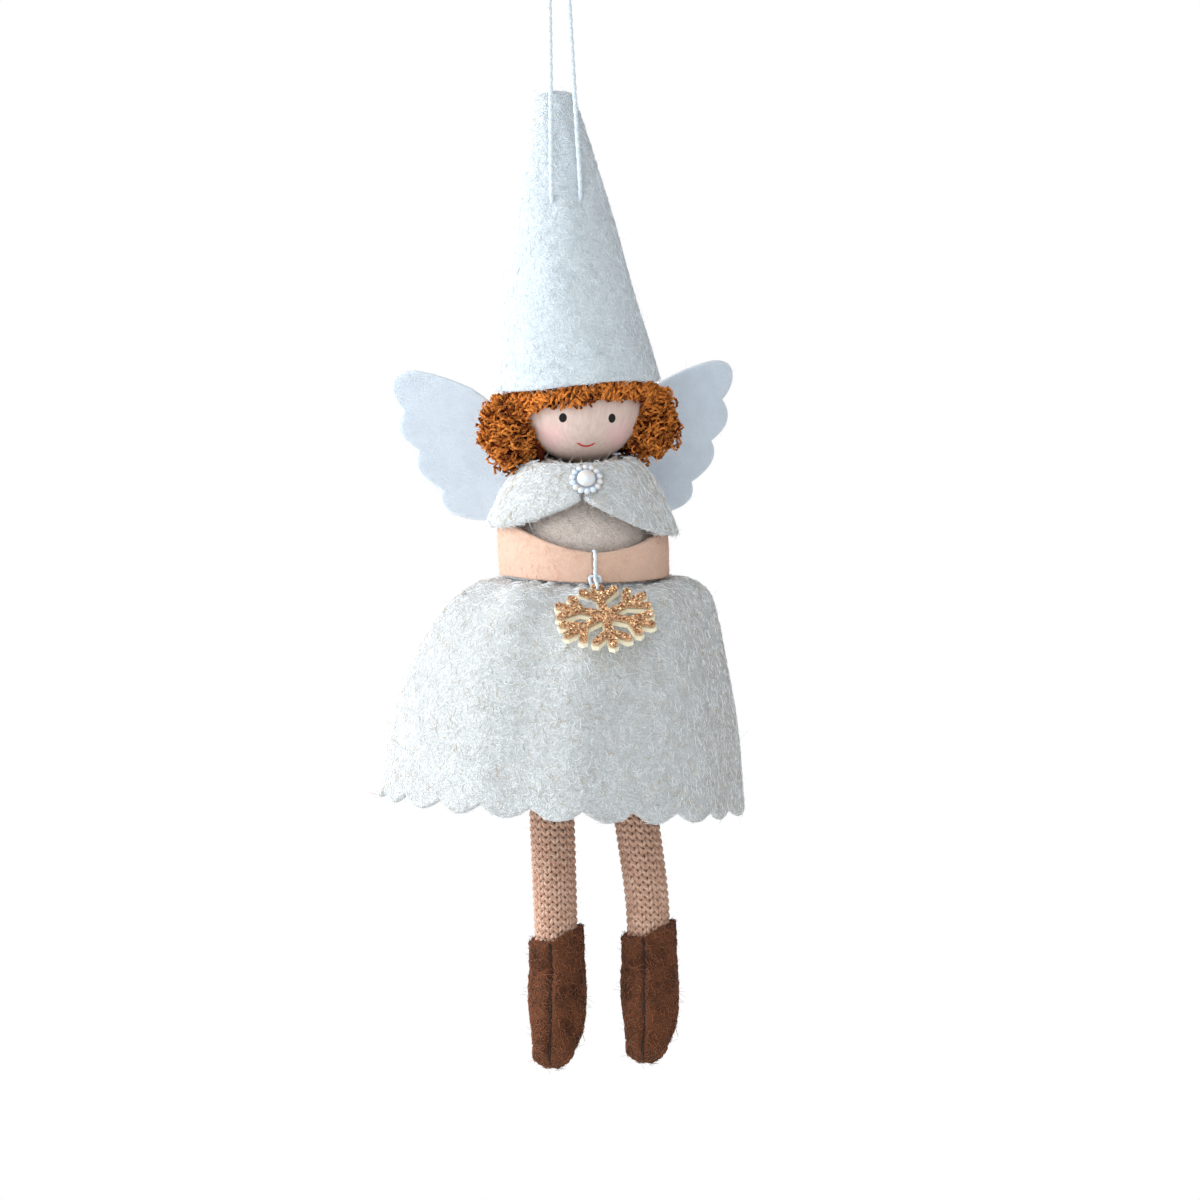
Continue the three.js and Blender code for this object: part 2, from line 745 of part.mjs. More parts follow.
const skirtProfileCurve = new THREE.SplineCurve([
  new THREE.Vector2(skirtNeck, 0),
  new THREE.Vector2(skirtNeck + 0.9, -SHELF_DROP * 0.5),
  new THREE.Vector2(SHELF_RADIUS, -SHELF_DROP),
  new THREE.Vector2(HIP_RADIUS, -HIP_DROP),
  new THREE.Vector2(BELLY_RADIUS, -BELLY_DROP),
  new THREE.Vector2(HEM_RADIUS, -SKIRT_LENGTH),
]);

// Outline of the skirt from its gathered top at t = 0 over the shelf and down to the hem.
function skirtProfile(t) {
  return skirtProfileCurve.getPoint(t);
}

// The gathers start at the waist, run deepest over the shelf and die out into soft waves at the hem.
function foldAt(angle, t) {
  const depth = FOLD_DEPTH * smoothstep(t, 0.05, 0.35) * lerp(1, 0.75, t);
  return depth * Math.cos(FOLD_COUNT * angle);
}

// The shelf stands higher at the sides than in front and behind, and more so at the angel's left.
function puffAt(angle, t) {
  const overShelf = smoothstep(t, 0.1, 0.35) * (1 - smoothstep(t, 0.55, 0.95));
  return SHELF_PUFF * Math.sin(angle) ** 2 * (1 + SHELF_SKEW * Math.sin(angle)) * overShelf;
}

function scallopAt(angle) {
  return SCALLOP_DEPTH * Math.abs(Math.sin((SCALLOP_COUNT * angle) / 2));
}

function makeSkirt() {
  const edgesPerScallop = 3;
  return feltSheet({
    along: SCALLOP_COUNT * edgesPerScallop,
    down: 6,
    thickness: SKIRT_FELT,
    closed: true,
    place: (u, v, depth) => {
      const angle = 2 * Math.PI * u;
      const wall = underProfile(skirtProfile, v, depth);
      const drop = scallopAt(angle) * smoothstep(v, 0.8, 1);
      const point = around(wall.x + foldAt(angle, v), angle, wall.y + puffAt(angle, v) - drop);
      point.x += SKIRT_SIDE * smoothstep(v, 0.4, 0.8);
      return point;
    },
  });
}

function makeWaistTie() {
  const tie = new THREE.TorusGeometry(tieRadius, TIE_DIAMETER / 2, 5, 30);
  return outward(tie.translate(0, 0, -TIE_DIAMETER / 2 - GAP));
}

// Wings

// The feathers of one wing from the top of its root round to the foot, a long one on top and three shorter
// ones below it. Each row is the bend and the end of a curve, outwards as a share of the span and up from the
// foot of the tab as a share of the height.
const FEATHERS = [
  [0.342, 0.731, 0.545, 0.887],
  [0.711, 0.98, 0.855, 1],
  [0.989, 1, 0.984, 0.867],
  [0.974, 0.781, 0.916, 0.724],
  [1.011, 0.565, 0.842, 0.445],
  [0.911, 0.296, 0.721, 0.169],
  [0.763, 0.003, 0.566, -0.03],
];

function wingShape(side) {
  const root = TAB_WIDTH / 2;
  const shape = new THREE.Shape();
  const x = (share) => side * share * WING_SPAN;
  const z = (share) => TAB_RISE + share * WING_HEIGHT;
  shape.moveTo(side * (root - WING_FELT), TAB_RISE);
  shape.lineTo(side * (root - WING_FELT), TAB_RISE + TAB_HEIGHT);
  shape.lineTo(side * root, TAB_RISE + TAB_HEIGHT);
  FEATHERS.forEach(([bendX, bendZ, endX, endZ]) => {
    shape.quadraticCurveTo(x(bendX), z(bendZ), x(endX), z(endZ));
  });
  shape.quadraticCurveTo(x(0.316), z(-0.05), side * root, TAB_RISE);
  return shape;
}

// Extrudes a drawing of distance and height into a standing sheet whose front face is at Y = 0.
function standing(shape) {
  const sheet = new THREE.ExtrudeGeometry(shape, { depth: WING_FELT, bevelEnabled: false, curveSegments: 5 });
  return upright(sheet).translate(0, WING_FELT, 0);
}

function makeWings() {
  const half = TAB_WIDTH / 2;
  const tab = new THREE.Shape();
  tab.moveTo(-half, TAB_RISE);
  tab.lineTo(half, TAB_RISE);
  tab.lineTo(half, TAB_RISE + TAB_HEIGHT);
  tab.lineTo(-half, TAB_RISE + TAB_HEIGHT);
  const wings = [-1, 1].map((side) =>
    standing(wingShape(side))
      .translate(-side * half, 0, 0)
      .rotateZ(side * WING_SWEEP)
      .translate(side * half, 0, 0),
  );
  return join(standing(tab), ...wings);
}

// Puts the leaning tab just behind the cape.
function wingPlace() {
  const slope = Math.tan(WING_LEAN);
  const samples = Array.from({ length: 21 }, (_, i) => capeProfile(i / 20));
  const reach = samples
    .filter((p) => p.y >= TAB_RISE - 1)
    .map((p) => p.x + p.y * slope)
    .reduce((most, value) => Math.max(most, value));
  return reach + GAP / Math.cos(WING_LEAN);
}

// Legs and boots, in the frame of one hip

// The knitted tube's outline, drawn in at the top, with its skin taken in by inset.
function legOutline(inset, bottom) {
  const radius = LEG_RADIUS - inset;
  const top = legTop - inset;
  const dome = 3;
  const outline = [];
  for (let i = 0; i <= dome; i++) {
    const a = (Math.PI / 2) * (i / dome);
    outline.push([radius * Math.sin(a), top - radius * (1 - Math.cos(a))]);
  }
  const rows = 8;
  const start = top - radius;
  for (let i = 1; i <= rows; i++) {
    const along = i / rows;
    outline.push([radius + LEG_SWELL * Math.sin(Math.PI * along), lerp(start, bottom, along)]);
  }
  return outline;
}

function makeLegKnit() {
  const bottom = legTop - LEG_LENGTH;
  return revolve([...legOutline(0, bottom), ...legOutline(KNIT_WALL, bottom).reverse()], 18);
}

function makeLegFilling() {
  const bottom = legTop - LEG_LENGTH;
  return revolve([...legOutline(KNIT_WALL + GAP, bottom), [0, bottom]], 12);
}

// Bends the lower half of a leg sideways.
function bowed(geometry, bow) {
  const p = geometry.attributes.position;
  for (let i = 0; i < p.count; i++) {
    const along = (legTop - p.getZ(i)) / LEG_LENGTH;
    p.setX(i, p.getX(i) + bow * smoothstep(along, 0.45, 0.9));
  }
  return geometry;
}

// The boot's form: rings along a spine that goes down the shaft and bends into the pointed foot, slanted at the
// cuff. inset shrinks the rings, and the shape starts at the given height.
function bootForm({ inset, top, sides }) {
  const cuffRadius = LEG_RADIUS + GAP + BOOT_FELT;
  const ankle = new THREE.Vector2(0, cuffHeight - BOOT_SHAFT);
  const foot = new THREE.Vector2(-Math.sin(BOOT_POINT), -Math.cos(BOOT_POINT)).multiplyScalar(BOOT_FOOT);
  const toe = ankle.clone().add(foot);
  const spine = new THREE.SplineCurve([
    new THREE.Vector2(0, cuffHeight),
    new THREE.Vector2(0, cuffHeight - BOOT_SHAFT * 0.6),
    ankle,
    ankle.clone().lerp(toe, 0.5),
    toe,
  ]);
  const cuff = 2 * cuffRadius;
  const widths = [cuff, cuff, INSTEP_WIDTH, INSTEP_WIDTH, TOE_WIDTH];
  const depths = [cuff, cuff, INSTEP_DEPTH, INSTEP_DEPTH * 0.9, TOE_DEPTH];
  const width = new THREE.SplineCurve(widths.map((w, i) => new THREE.Vector2(i, w)));
  const depth = new THREE.SplineCurve(depths.map((d, i) => new THREE.Vector2(i, d)));
  const rows = 8;
  const rings = [];
  for (let k = 0; k <= rows; k++) {
    const t = k / rows;
    const centre = spine.getPoint(t);
    const along = spine.getTangent(t);
    const taper = k === rows ? 0.55 : 1;
    const halfWidth = (width.getPoint(t).y / 2 - inset) * taper;
    const halfDepth = (depth.getPoint(t).y / 2 - inset) * taper;
    const nose = k === rows ? TOE_DEPTH * 0.3 - inset : 0;
    const slant = Math.tan(CUFF_SLANT) * smoothstep(centre.y, cuffHeight - LEG_IN_BOOT, cuffHeight);
    rings.push(
      Array.from({ length: sides }, (_, i) => {
        const turn = (2 * Math.PI * (i + 0.5)) / sides;
        const x = halfWidth * Math.sin(turn);
        const across = halfDepth * Math.cos(turn);
        const y = centre.x + along.x * nose + along.y * across;
        const rise = slant * (x * Math.cos(BOOT_TURN) - y * Math.sin(BOOT_TURN));
        return new THREE.Vector3(x, y, centre.y + along.y * nose - along.x * across + rise);
      }),
    );
  }
  if (top > cuffHeight) {
    rings.unshift(rings[0].map((p) => p.clone().setZ(p.z + top - cuffHeight)));
  }
  return loft(rings);
}

function halfSpace(side, inset) {
  const size = 4 * (INSTEP_WIDTH + BOOT_SHAFT + BOOT_FOOT);
  return new THREE.BoxGeometry(size, size, size).translate(
    side * (size / 2 + inset),
    0,
    cuffHeight - BOOT_SHAFT,
  );
}

// One of the two felt panels that are sewn together along the front, the sole and the back.
function makeBootPanel(side) {
  const outside = bootForm({ inset: 0, top: cuffHeight, sides: 16 });
  const inside = bootForm({ inset: BOOT_FELT, top: cuffHeight + 1, sides: 16 });
  return common(cut(outside, inside), halfSpace(side, GAP / 2));
}

function makeBootStuffing() {
  const form = bootForm({ inset: BOOT_FELT + GAP, top: cuffHeight, sides: 16 });
  const legEnd = legTop - LEG_LENGTH - GAP;
  const above = cylinder(4 * LEG_RADIUS, legEnd, cuffHeight + BOOT_SHAFT);
  return cut(form, above);
}

function makeHipKnot() {
  return ball(HIP_KNOT_RADIUS, 10, 7);
}

function makeLeg(name, side, bow) {
  const boot = new THREE.Group();
  boot.position.x = bow;
  boot.rotation.z = BOOT_TURN;
  boot.add(
    named(`${name}_boot_outer_panel`, makeBootPanel(side), BOOT_BROWN),
    named(`${name}_boot_inner_panel`, makeBootPanel(-side), BOOT_BROWN),
    named(`${name}_boot_stuffing`, makeBootStuffing(), WADDING),
  );
  const leg = new THREE.Group();
  leg.position.set((side * HIP_SPACING) / 2, 0, hipHeight);
  leg.add(
    named(`${name}_hip_knot`, makeHipKnot(), CORD_WHITE),
    named(`${name}_leg_knit`, bowed(makeLegKnit(), bow), KNIT),
    named(`${name}_leg_filling`, bowed(makeLegFilling(), bow), WADDING),
    boot,
  );
  return leg;
}

// Snowflake charm

// The hole of the charm hangs below the hands, in front of the thread that ties them.
const charmHole = new THREE.Vector2(
  armRadius + 2 * (GAP + LOOP_THREAD) + 0.4 * LOOP_LENGTH,
  ARM_RISE - 0.4 * LOOP_LENGTH,
);

// The charm lies on the skirt, so its slope is the least that keeps its back clear of the front of the skirt.
function charmSlope() {
  const clear = GAP + FOLD_DEPTH + CHARM_BACK;
  const samples = Array.from({ length: 61 }, (_, i) => skirtProfile(i / 60));
  return samples
    .filter((p) => p.x > charmHole.x + 1)
    .map((p) => Math.atan2(charmHole.y - (p.y + SKIRT_RISE + clear), p.x - charmHole.x))
    .reduce((least, angle) => Math.min(least, angle));
}

// From the charm's own plane, face up and hole towards the back, to how it lies.
function charmTurn() {
  return new THREE.Quaternion().setFromEuler(new THREE.Euler(charmSlope(), CHARM_ROLL, 0, "YXZ"));
}

// The outline of one arm of the flake, along +X: straight sides with a pair of bent prongs and pointed ends.
function flakeArm(trim) {
  const half = CHARM_ARM_WIDTH / 2 - trim;
  const start = CHARM_RADIUS * PRONG_REACH;
  const length = CHARM_RADIUS * PRONG_LENGTH - trim;
  const [sin, cos] = [Math.sin(PRONG_BEND), Math.cos(PRONG_BEND)];
  const end = CHARM_RADIUS - trim;
  const oneSide = [
    [half * Math.sqrt(3), half],
    [start + half * (Math.tan(PRONG_BEND / 2) * cos - sin), half],
    [start + length * cos - half * sin, length * sin + half * cos],
    [start + (length + half * 0.7) * cos, (length + half * 0.7) * sin],
    [start + length * cos + half * sin, length * sin - half * cos],
    [start + half * (sin - cos * Math.tan(PRONG_BEND / 2)) + (half * (1 + cos)) / Math.tan(PRONG_BEND), half],
    [end - half * 0.7, half],
  ];
  const otherSide = oneSide.slice(1).map(([x, y]) => [x, -y]);
  return [...otherSide, [end, 0], ...oneSide.reverse()];
}

// The six-armed flake with an eye for the thread in its upper arm.
function flake(thickness, trim) {
  const outline = [];
  for (let arm = 0; arm < 6; arm++) {
    const turn = Math.PI / 2 + (arm * Math.PI) / 3;
    const corners = flakeArm(trim).map(([x, y]) => new THREE.Vector2(x, y));
    corners.forEach((corner) => outline.push(corner.rotateAround(new THREE.Vector2(), turn)));
  }
  const shape = new THREE.Shape(outline);
  const plate = new THREE.ExtrudeGeometry(shape, { depth: thickness, bevelEnabled: false });
  const toHole = [0, CHARM_HOLE_REACH * CHARM_RADIUS, 0];
  const eye = cylinder(CHARM_HOLE_RADIUS + CHARM_EYE - trim, 0, thickness, 12).translate(...toHole);
  const hole = cylinder(CHARM_HOLE_RADIUS, -1, thickness + 1, 12).translate(...toHole);
  return cut(join(plate, eye), hole);
}

function makeCharm() {
  const charm = new THREE.Group();
  charm.position.set(0, -charmHole.x, charmHole.y);
  charm.quaternion.copy(charmTurn());
  const toHole = -CHARM_HOLE_REACH * CHARM_RADIUS;
  const back = flake(CHARM_BACK, 0).translate(0, toHole, -CHARM_BACK / 2);
  const face = flake(CHARM_GLITTER, 0.2).translate(0, toHole, CHARM_BACK / 2 + GAP);
  charm.add(
    named("snowflake_back", back, CREAM_CARD),
    named("snowflake_glitter_face", face, GOLD_GLITTER),
  );
  return charm;
}

// The loop of thread that passes behind the front run of the hand thread, twists, and goes through the hole
// of the charm from its face to its back.
function makeCharmLoop() {
  const radius = LOOP_THREAD / 2;
  const hands = new THREE.Vector3(0, -armRadius - GAP - radius, ARM_RISE + 0.2 * LOOP_LENGTH);
  const hole = new THREE.Vector3(0, -charmHole.x, charmHole.y);
  const up = new THREE.Vector3(0, 1, 0).applyQuaternion(charmTurn());
  const out = new THREE.Vector3(0, 0, 1).applyQuaternion(charmTurn());
  const onFace = CHARM_BACK / 2 + GAP + CHARM_GLITTER + GAP + radius;
  const onBack = -CHARM_BACK / 2 - GAP - radius;
  const side = LOOP_THREAD + 1.2 * GAP;
  const pastTip = (1 - CHARM_HOLE_REACH) * CHARM_RADIUS + GAP;
  const tip = hole.clone().addScaledVector(up, pastTip);
  const strand = (share, across) => hands.clone().lerp(tip, share).setX(lerp(hands.x, tip.x, share) + across);
  const onCharm = (rise, lift) => hole.clone().addScaledVector(up, rise).addScaledVector(out, lift);
  const curve = new THREE.CatmullRomCurve3([], true, "centripetal");
  curve.points = [
    strand(-0.15, 0),
    strand(0.15, side),
    strand(0.6, side),
    onCharm(pastTip, onFace),
    onCharm(2 * radius, onFace),
    onCharm(0, onFace - 2 * radius),
    onCharm(0, onBack + 2 * radius),
    onCharm(2 * radius, onBack),
    onCharm(pastTip, onBack),
    strand(0.6, -side),
    strand(0.15, -side),
  ];
  return threadRing(curve, radius, 34, 5);
}

// Assembly

angel.add(
  named("bodice", makeBodice(), BODICE_BEIGE),
  named("bodice_stuffing", makeBodiceStuffing(), WADDING),
  named("base_disc", makeBaseDisc(), WHITE_FELT),
  named("neck_peg", pegShape(PEG_RADIUS), PLAIN_WOOD),
  named("cape", makeCape(), WHITE_FELT),
  named("arms", makeArms(), SKIN_FELT),
  named("hand_thread", makeHandThread(), CORD_WHITE),
  named("charm_thread", makeCharmLoop(), CORD_WHITE),
);

const headGroup = new THREE.Group();
headGroup.position.set(HEAD_SIDE, 0, headHeight);
headGroup.rotation.y = HEAD_LEAN;
headGroup.add(
  named("head_ball", makeHead(), PAINTED_WOOD),
  named("hat", makeHat(), WHITE_FELT),
  named("hat_stuffing", makeHatStuffing(), WADDING),
  named("hair_fringe", makeFringe(), YARN),
  named("hair_right_bunch", makeBunch(-1), YARN),
  named("hair_left_bunch", makeBunch(1), YARN),
  named("hair_back", makeBackHair(), YARN),
);

const brooch = broochFrame();
brooch.add(
  named("brooch_setting", makeBroochSetting(), PEARL),
  named("brooch_pearl", makePearl(), PEARL),
);

const skirtGroup = new THREE.Group();
skirtGroup.position.z = SKIRT_RISE;
skirtGroup.rotation.y = SKIRT_LEAN;
skirtGroup.add(
  named("skirt", makeSkirt(), WHITE_FELT),
  named("waist_tie", makeWaistTie(), CORD_WHITE),
);

const wingGroup = new THREE.Group();
wingGroup.position.y = wingPlace();
wingGroup.rotation.x = WING_LEAN;
wingGroup.add(named("wings", makeWings(), WHITE_FELT));

const legs = [makeLeg("right", -1, 0), makeLeg("left", 1, LEFT_LEG_BOW)];
angel.add(headGroup, brooch, skirtGroup, wingGroup, ...legs, makeCharm());

const ornament = new THREE.Group();
ornament.add(
  angel,
  named("hanging_cord", cordTube(CORD_DIAMETER / 2), CORD_WHITE),
  named("cord_knot", cordKnot(CORD_KNOT_RADIUS), CORD_WHITE),
);

export default ornament;
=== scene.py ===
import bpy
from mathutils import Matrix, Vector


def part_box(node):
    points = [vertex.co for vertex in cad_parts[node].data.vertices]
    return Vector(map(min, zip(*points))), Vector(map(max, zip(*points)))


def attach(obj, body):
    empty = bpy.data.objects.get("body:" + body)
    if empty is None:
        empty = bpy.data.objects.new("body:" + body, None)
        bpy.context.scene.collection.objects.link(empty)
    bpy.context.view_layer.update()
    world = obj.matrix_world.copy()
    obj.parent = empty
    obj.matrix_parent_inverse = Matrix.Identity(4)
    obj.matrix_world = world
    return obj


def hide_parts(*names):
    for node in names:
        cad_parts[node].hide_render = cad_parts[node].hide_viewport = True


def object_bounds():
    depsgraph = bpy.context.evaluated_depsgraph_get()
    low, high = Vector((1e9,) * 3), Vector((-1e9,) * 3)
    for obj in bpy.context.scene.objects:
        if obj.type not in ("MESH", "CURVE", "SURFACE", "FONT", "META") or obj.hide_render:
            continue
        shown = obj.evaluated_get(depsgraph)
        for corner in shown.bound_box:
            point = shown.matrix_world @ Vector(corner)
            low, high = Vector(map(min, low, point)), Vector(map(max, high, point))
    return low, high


bl_info = {
    "name": "Felt Angel Ornament",
    "version": (1, 0, 0),
    "blender": (4, 5, 0),
    "location": "View3D > Sidebar > Angel",
    "description": "Hanging felt angel: wool felt, curled yarn, knitted legs, pearl brooch and glitter charm",
    "category": "Object",
}

from math import atan2, cos, pi, radians, sin, sqrt, tan, tau

import bmesh
import bpy
import numpy as np
from bpy.props import FloatProperty, FloatVectorProperty, IntProperty, PointerProperty
from mathutils import Matrix, Vector

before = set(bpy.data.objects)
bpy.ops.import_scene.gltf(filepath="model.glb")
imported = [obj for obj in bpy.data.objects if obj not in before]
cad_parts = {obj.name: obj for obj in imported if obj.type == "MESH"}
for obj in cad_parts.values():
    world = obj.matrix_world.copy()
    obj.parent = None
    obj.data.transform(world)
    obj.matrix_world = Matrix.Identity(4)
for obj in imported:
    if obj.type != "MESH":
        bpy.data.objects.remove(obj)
CAD_BOX = [[float(c) for c in corner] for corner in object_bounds()]

MM = 0.001


def srgb(red, green, blue):
    """A colour as read from a picture, 0 to 255, turned into linear light."""
    values = np.array((red, green, blue)) / 255
    return tuple(np.where(values <= 0.04045, values / 12.92, ((values + 0.055) / 1.055) ** 2.4))


def box_mm(node):
    """Lowest and highest corner of a CAD node in millimetres."""
    return [np.array(corner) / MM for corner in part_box(node)]


# Sizes and places in millimetres. The waist is the middle of the bodice's lower edge, and the other places
# start there.
HEAD_RADIUS = 12.5
BODICE_HEIGHT = 27
CAPE_FALL = 13.8
ARM_RADIUS = 16.9
LEG_LENGTH = 68
CHARM_RADIUS, CHARM_HOLE_REACH = 10.5, 0.82
CHARM_BACK, CHARM_GLITTER = 0.8, 0.5
GAP = 0.3
_low, _high = box_mm("bodice")
WAIST = np.array(((_low[0] + _high[0]) / 2, (_low[1] + _high[1]) / 2, _low[2]))
_low, _high = box_mm("head_ball")
HEAD = np.array(((_low[0] + _high[0]) / 2, WAIST[1], _high[2] - HEAD_RADIUS)) - WAIST
HIPS = {side: sum(box_mm(f"{side}_hip_knot")) / 2 - WAIST for side in ("right", "left")}
HAT_SIDE = np.array((-0.5, 0.0, 0.0))
SKIRT_TOP = np.array((0.0, 0.0, 3.0))
LEG_BOW = {"right": 0.0, "left": 2.3}
HEAD_LEAN, SKIRT_LEAN, TORSO_SAG = radians(-2.5), radians(5), radians(4.6)


def size(name, description, millimetres):
    """A length setting, given in millimetres."""
    return FloatProperty(name=name, description=description, default=millimetres * MM, unit="LENGTH")


def colour(name, description, *rgb):
    """A colour setting, given as read from a picture."""
    return FloatVectorProperty(
        name=name, description=description, default=srgb(*rgb), subtype="COLOR", size=3, min=0, max=1
    )


class AngelSizes(bpy.types.PropertyGroup):
    """Sizes of the angel's soft pieces."""

    hat_height: size("Hat height", "Brim to tip", 58)
    hat_tip: size("Hat tip", "Radius of the blunt tip", 3.4)
    hat_brim: size("Hat brim", "Outer radius", 16.4)
    head_radius: size("Head", "Radius of the wooden ball", HEAD_RADIUS)
    felt: size("Felt", "Thickness of hat and cape", 1.3)
    skirt_felt: size("Skirt felt", "Thickness of the skirt", 1.4)
    hem_radius: size("Hem", "Radius of the hem", 36)
    skirt_length: size("Skirt length", "Top edge to hem", 42.7)
    scallops: IntProperty(name="Scallops", description="Round the hem", default=22, min=3)
    folds: IntProperty(name="Folds", description="Main folds of the skirt", default=9, min=1)
    leg_radius: size("Leg", "Radius of a knitted leg", 4.2)
    wales: IntProperty(name="Wales", description="Columns of stitches round a leg", default=15, min=6)
    curl: size("Curl", "Radius of a hair curl", 1.05)
    cord: size("Cord", "Diameter of the cord", 0.9)
    thread: size("Thread", "Diameter of the thread", 0.7)


class AngelColours(bpy.types.PropertyGroup):
    """Colours of the angel's materials."""

    white: colour("White felt", "Felt of the hat", 227, 234, 240)
    wing: colour("Wings", "Felt of the wings", 207, 214, 222)
    cream: colour("Cream felt", "Skirt and cape", 225, 227, 228)
    beige: colour("Bodice", "Felt of the bodice", 226, 211, 201)
    skin: colour("Arms", "Felt of the arms", 253, 209, 185)
    face: colour("Face", "Stained wood of the head", 217, 192, 181)
    blush: colour("Blush", "Cheeks", 236, 178, 182)
    hair: colour("Hair", "Curled yarn in the light", 255, 157, 72)
    hair_dark: colour("Dark hair", "Curled yarn in the shade", 112, 44, 16)
    knit_light: colour("Knit light", "Light ply of the legs", 237, 205, 183)
    knit_dark: colour("Knit dark", "Dark ply of the legs", 172, 120, 94)
    boot: colour("Boots", "Felt of the boots", 75, 43, 26)
    glitter: colour("Glitter", "Face of the snowflake", 244, 191, 148)
    backing: colour("Backing", "Back and edge of the snowflake", 246, 236, 206)


# Shapes


def ring(radius, angle, height):
    """Points round the upright: angle 0 is the front, and it grows towards the angel's left."""
    radius, angle, height = np.broadcast_arrays(radius, angle, height)
    return np.stack((radius * np.sin(angle), -radius * np.cos(angle), height), -1)


def around(count):
    """Equal steps of a full turn, as a column."""
    return np.linspace(0, tau, count, endpoint=False)[:, None]


def half_turn(count=7):
    """Equal steps of a half turn, without its ends."""
    return np.linspace(0, pi, count + 2)[1:-1]


def globe(radius, columns, rows, share=1.0):
    """A ball by longitude and latitude, or a share of it from the top."""
    fall = np.linspace(0, share * pi, rows)
    return ring(radius * np.sin(fall), around(columns), radius * np.cos(fall))


def turned(points, axis, angle):
    """Turns points about X, Y or Z: with u and v the next two axes in order, u' = u cos - v sin and
    v' = u sin + v cos."""
    k = "XYZ".index(axis)
    w, u, v = np.moveaxis(np.roll(np.asarray(points, float), -k, -1), -1, 0)
    moved = np.stack((w, u * cos(angle) - v * sin(angle), u * sin(angle) + v * cos(angle)), -1)
    return np.roll(moved, k, -1)


def in_head(points):
    """From the leaning head's own place into the frame."""
    return turned(points, "Y", HEAD_LEAN) + HEAD + WAIST


def in_skirt(points):
    """From the leaning skirt's own place into the frame."""
    return turned(points, "Y", SKIRT_LEAN) + SKIRT_TOP + WAIST


def sagged(points, weight=1.0):
    """Cape and arms hang lower at the angel's left: z - k x tan(sag), k from 0 at the neck to 1 at the
    hem."""
    x, y, z = np.moveaxis(points, -1, 0)
    share = weight * np.clip((BODICE_HEIGHT - z) / CAPE_FALL, 0, 1)
    return np.stack((x, y, z - share * x * tan(TORSO_SAG)), -1)


def smooth(value, low, high):
    """0 up to low, 1 from high on, and 3t² - 2t³ between them; low may be the larger."""
    t = np.clip((value - low) / (high - low), 0, 1)
    return t * t * (3 - 2 * t)


def bell(value, width):
    """1 at 0, falling off on both sides as exp(-(value / width)²)."""
    return np.exp(-((value / width) ** 2))


def unit(vectors):
    """Vectors at length 1."""
    return vectors / np.maximum(np.linalg.norm(vectors, axis=-1, keepdims=True), 1e-9)


def square_to(tangent, vectors):
    """The part of vectors that is square to the tangent, at length 1."""
    return unit(vectors - (vectors * tangent).sum(-1, keepdims=True) * tangent)


def random_square_to(normals, rng):
    """A random direction square to each normal."""
    return unit(np.cross(normals, rng.normal(size=normals.shape)))


def distance(paths):
    """Distance along each path, from 0 at its first point."""
    steps = np.linalg.norm(np.diff(paths, axis=-2), axis=-1)
    return np.concatenate((0 * steps[..., :1], np.cumsum(steps, axis=-1)), -1)


def spline(points, t):
    """Catmull-Rom curve through points, with t from 0 to 1 in equal shares between neighbours."""
    points = np.asarray(points, float)
    last = len(points) - 1
    p = np.clip(np.asarray(t, float), 0, 1) * last
    i = np.minimum(np.floor(p).astype(int), last - 1)
    w = (p - i)[..., None]
    a, b = points[np.maximum(i - 1, 0)], points[i]
    c, d = points[i + 1], points[np.minimum(i + 2, last)]
    v0, v1 = (c - a) / 2, (d - b) / 2
    return (2 * b - 2 * c + v0 + v1) * w**3 + (3 * c - 3 * b - 2 * v0 - v1) * w**2 + v0 * w + b


def closed_spline(points, count):
    """Closed Catmull-Rom curve through points, as count points in equal shares."""
    padded = np.concatenate((points[-2:], points, points[:3]))
    return spline(padded, (2 + np.arange(count) / count * len(points)) / (len(padded) - 1))


def evenly(path, count):
    """The same path with count points at equal distances along it."""
    along = distance(path)
    wanted = np.linspace(0, along[-1], count)
    return np.stack([np.interp(wanted, along, axis) for axis in path.T], -1)


def thinned(count, kept):
    """Numbers of the points kept out of count, evenly from the last to the first."""
    return np.linspace(count - 1, 0, kept).round().astype(int)


def felt_section(profile, thickness, pick, edge=7):
    """Closed cross-section of a felt wall, as radius and height: down the outer profile, round the lower
    edge in a half circle, up inside at the felt's thickness by the picked points, and over the top in
    another half circle."""
    tangent = unit(np.gradient(profile, axis=-2))
    normal = np.stack((-tangent[..., 1], tangent[..., 0]), -1)
    turn = half_turn(edge)[:, None]

    def half_circle(k, sign):
        out, ahead = sign * normal[..., k, None, :], sign * tangent[..., k, None, :]
        middle = (profile - normal * thickness / 2)[..., k, None, :]
        return middle + thickness / 2 * (np.cos(turn) * out + 0.8 * np.sin(turn) * ahead)

    inner = (profile - normal * thickness)[..., pick, :]
    return np.concatenate((profile, half_circle(-1, 1), inner, half_circle(0, -1)), -2)


# Meshes


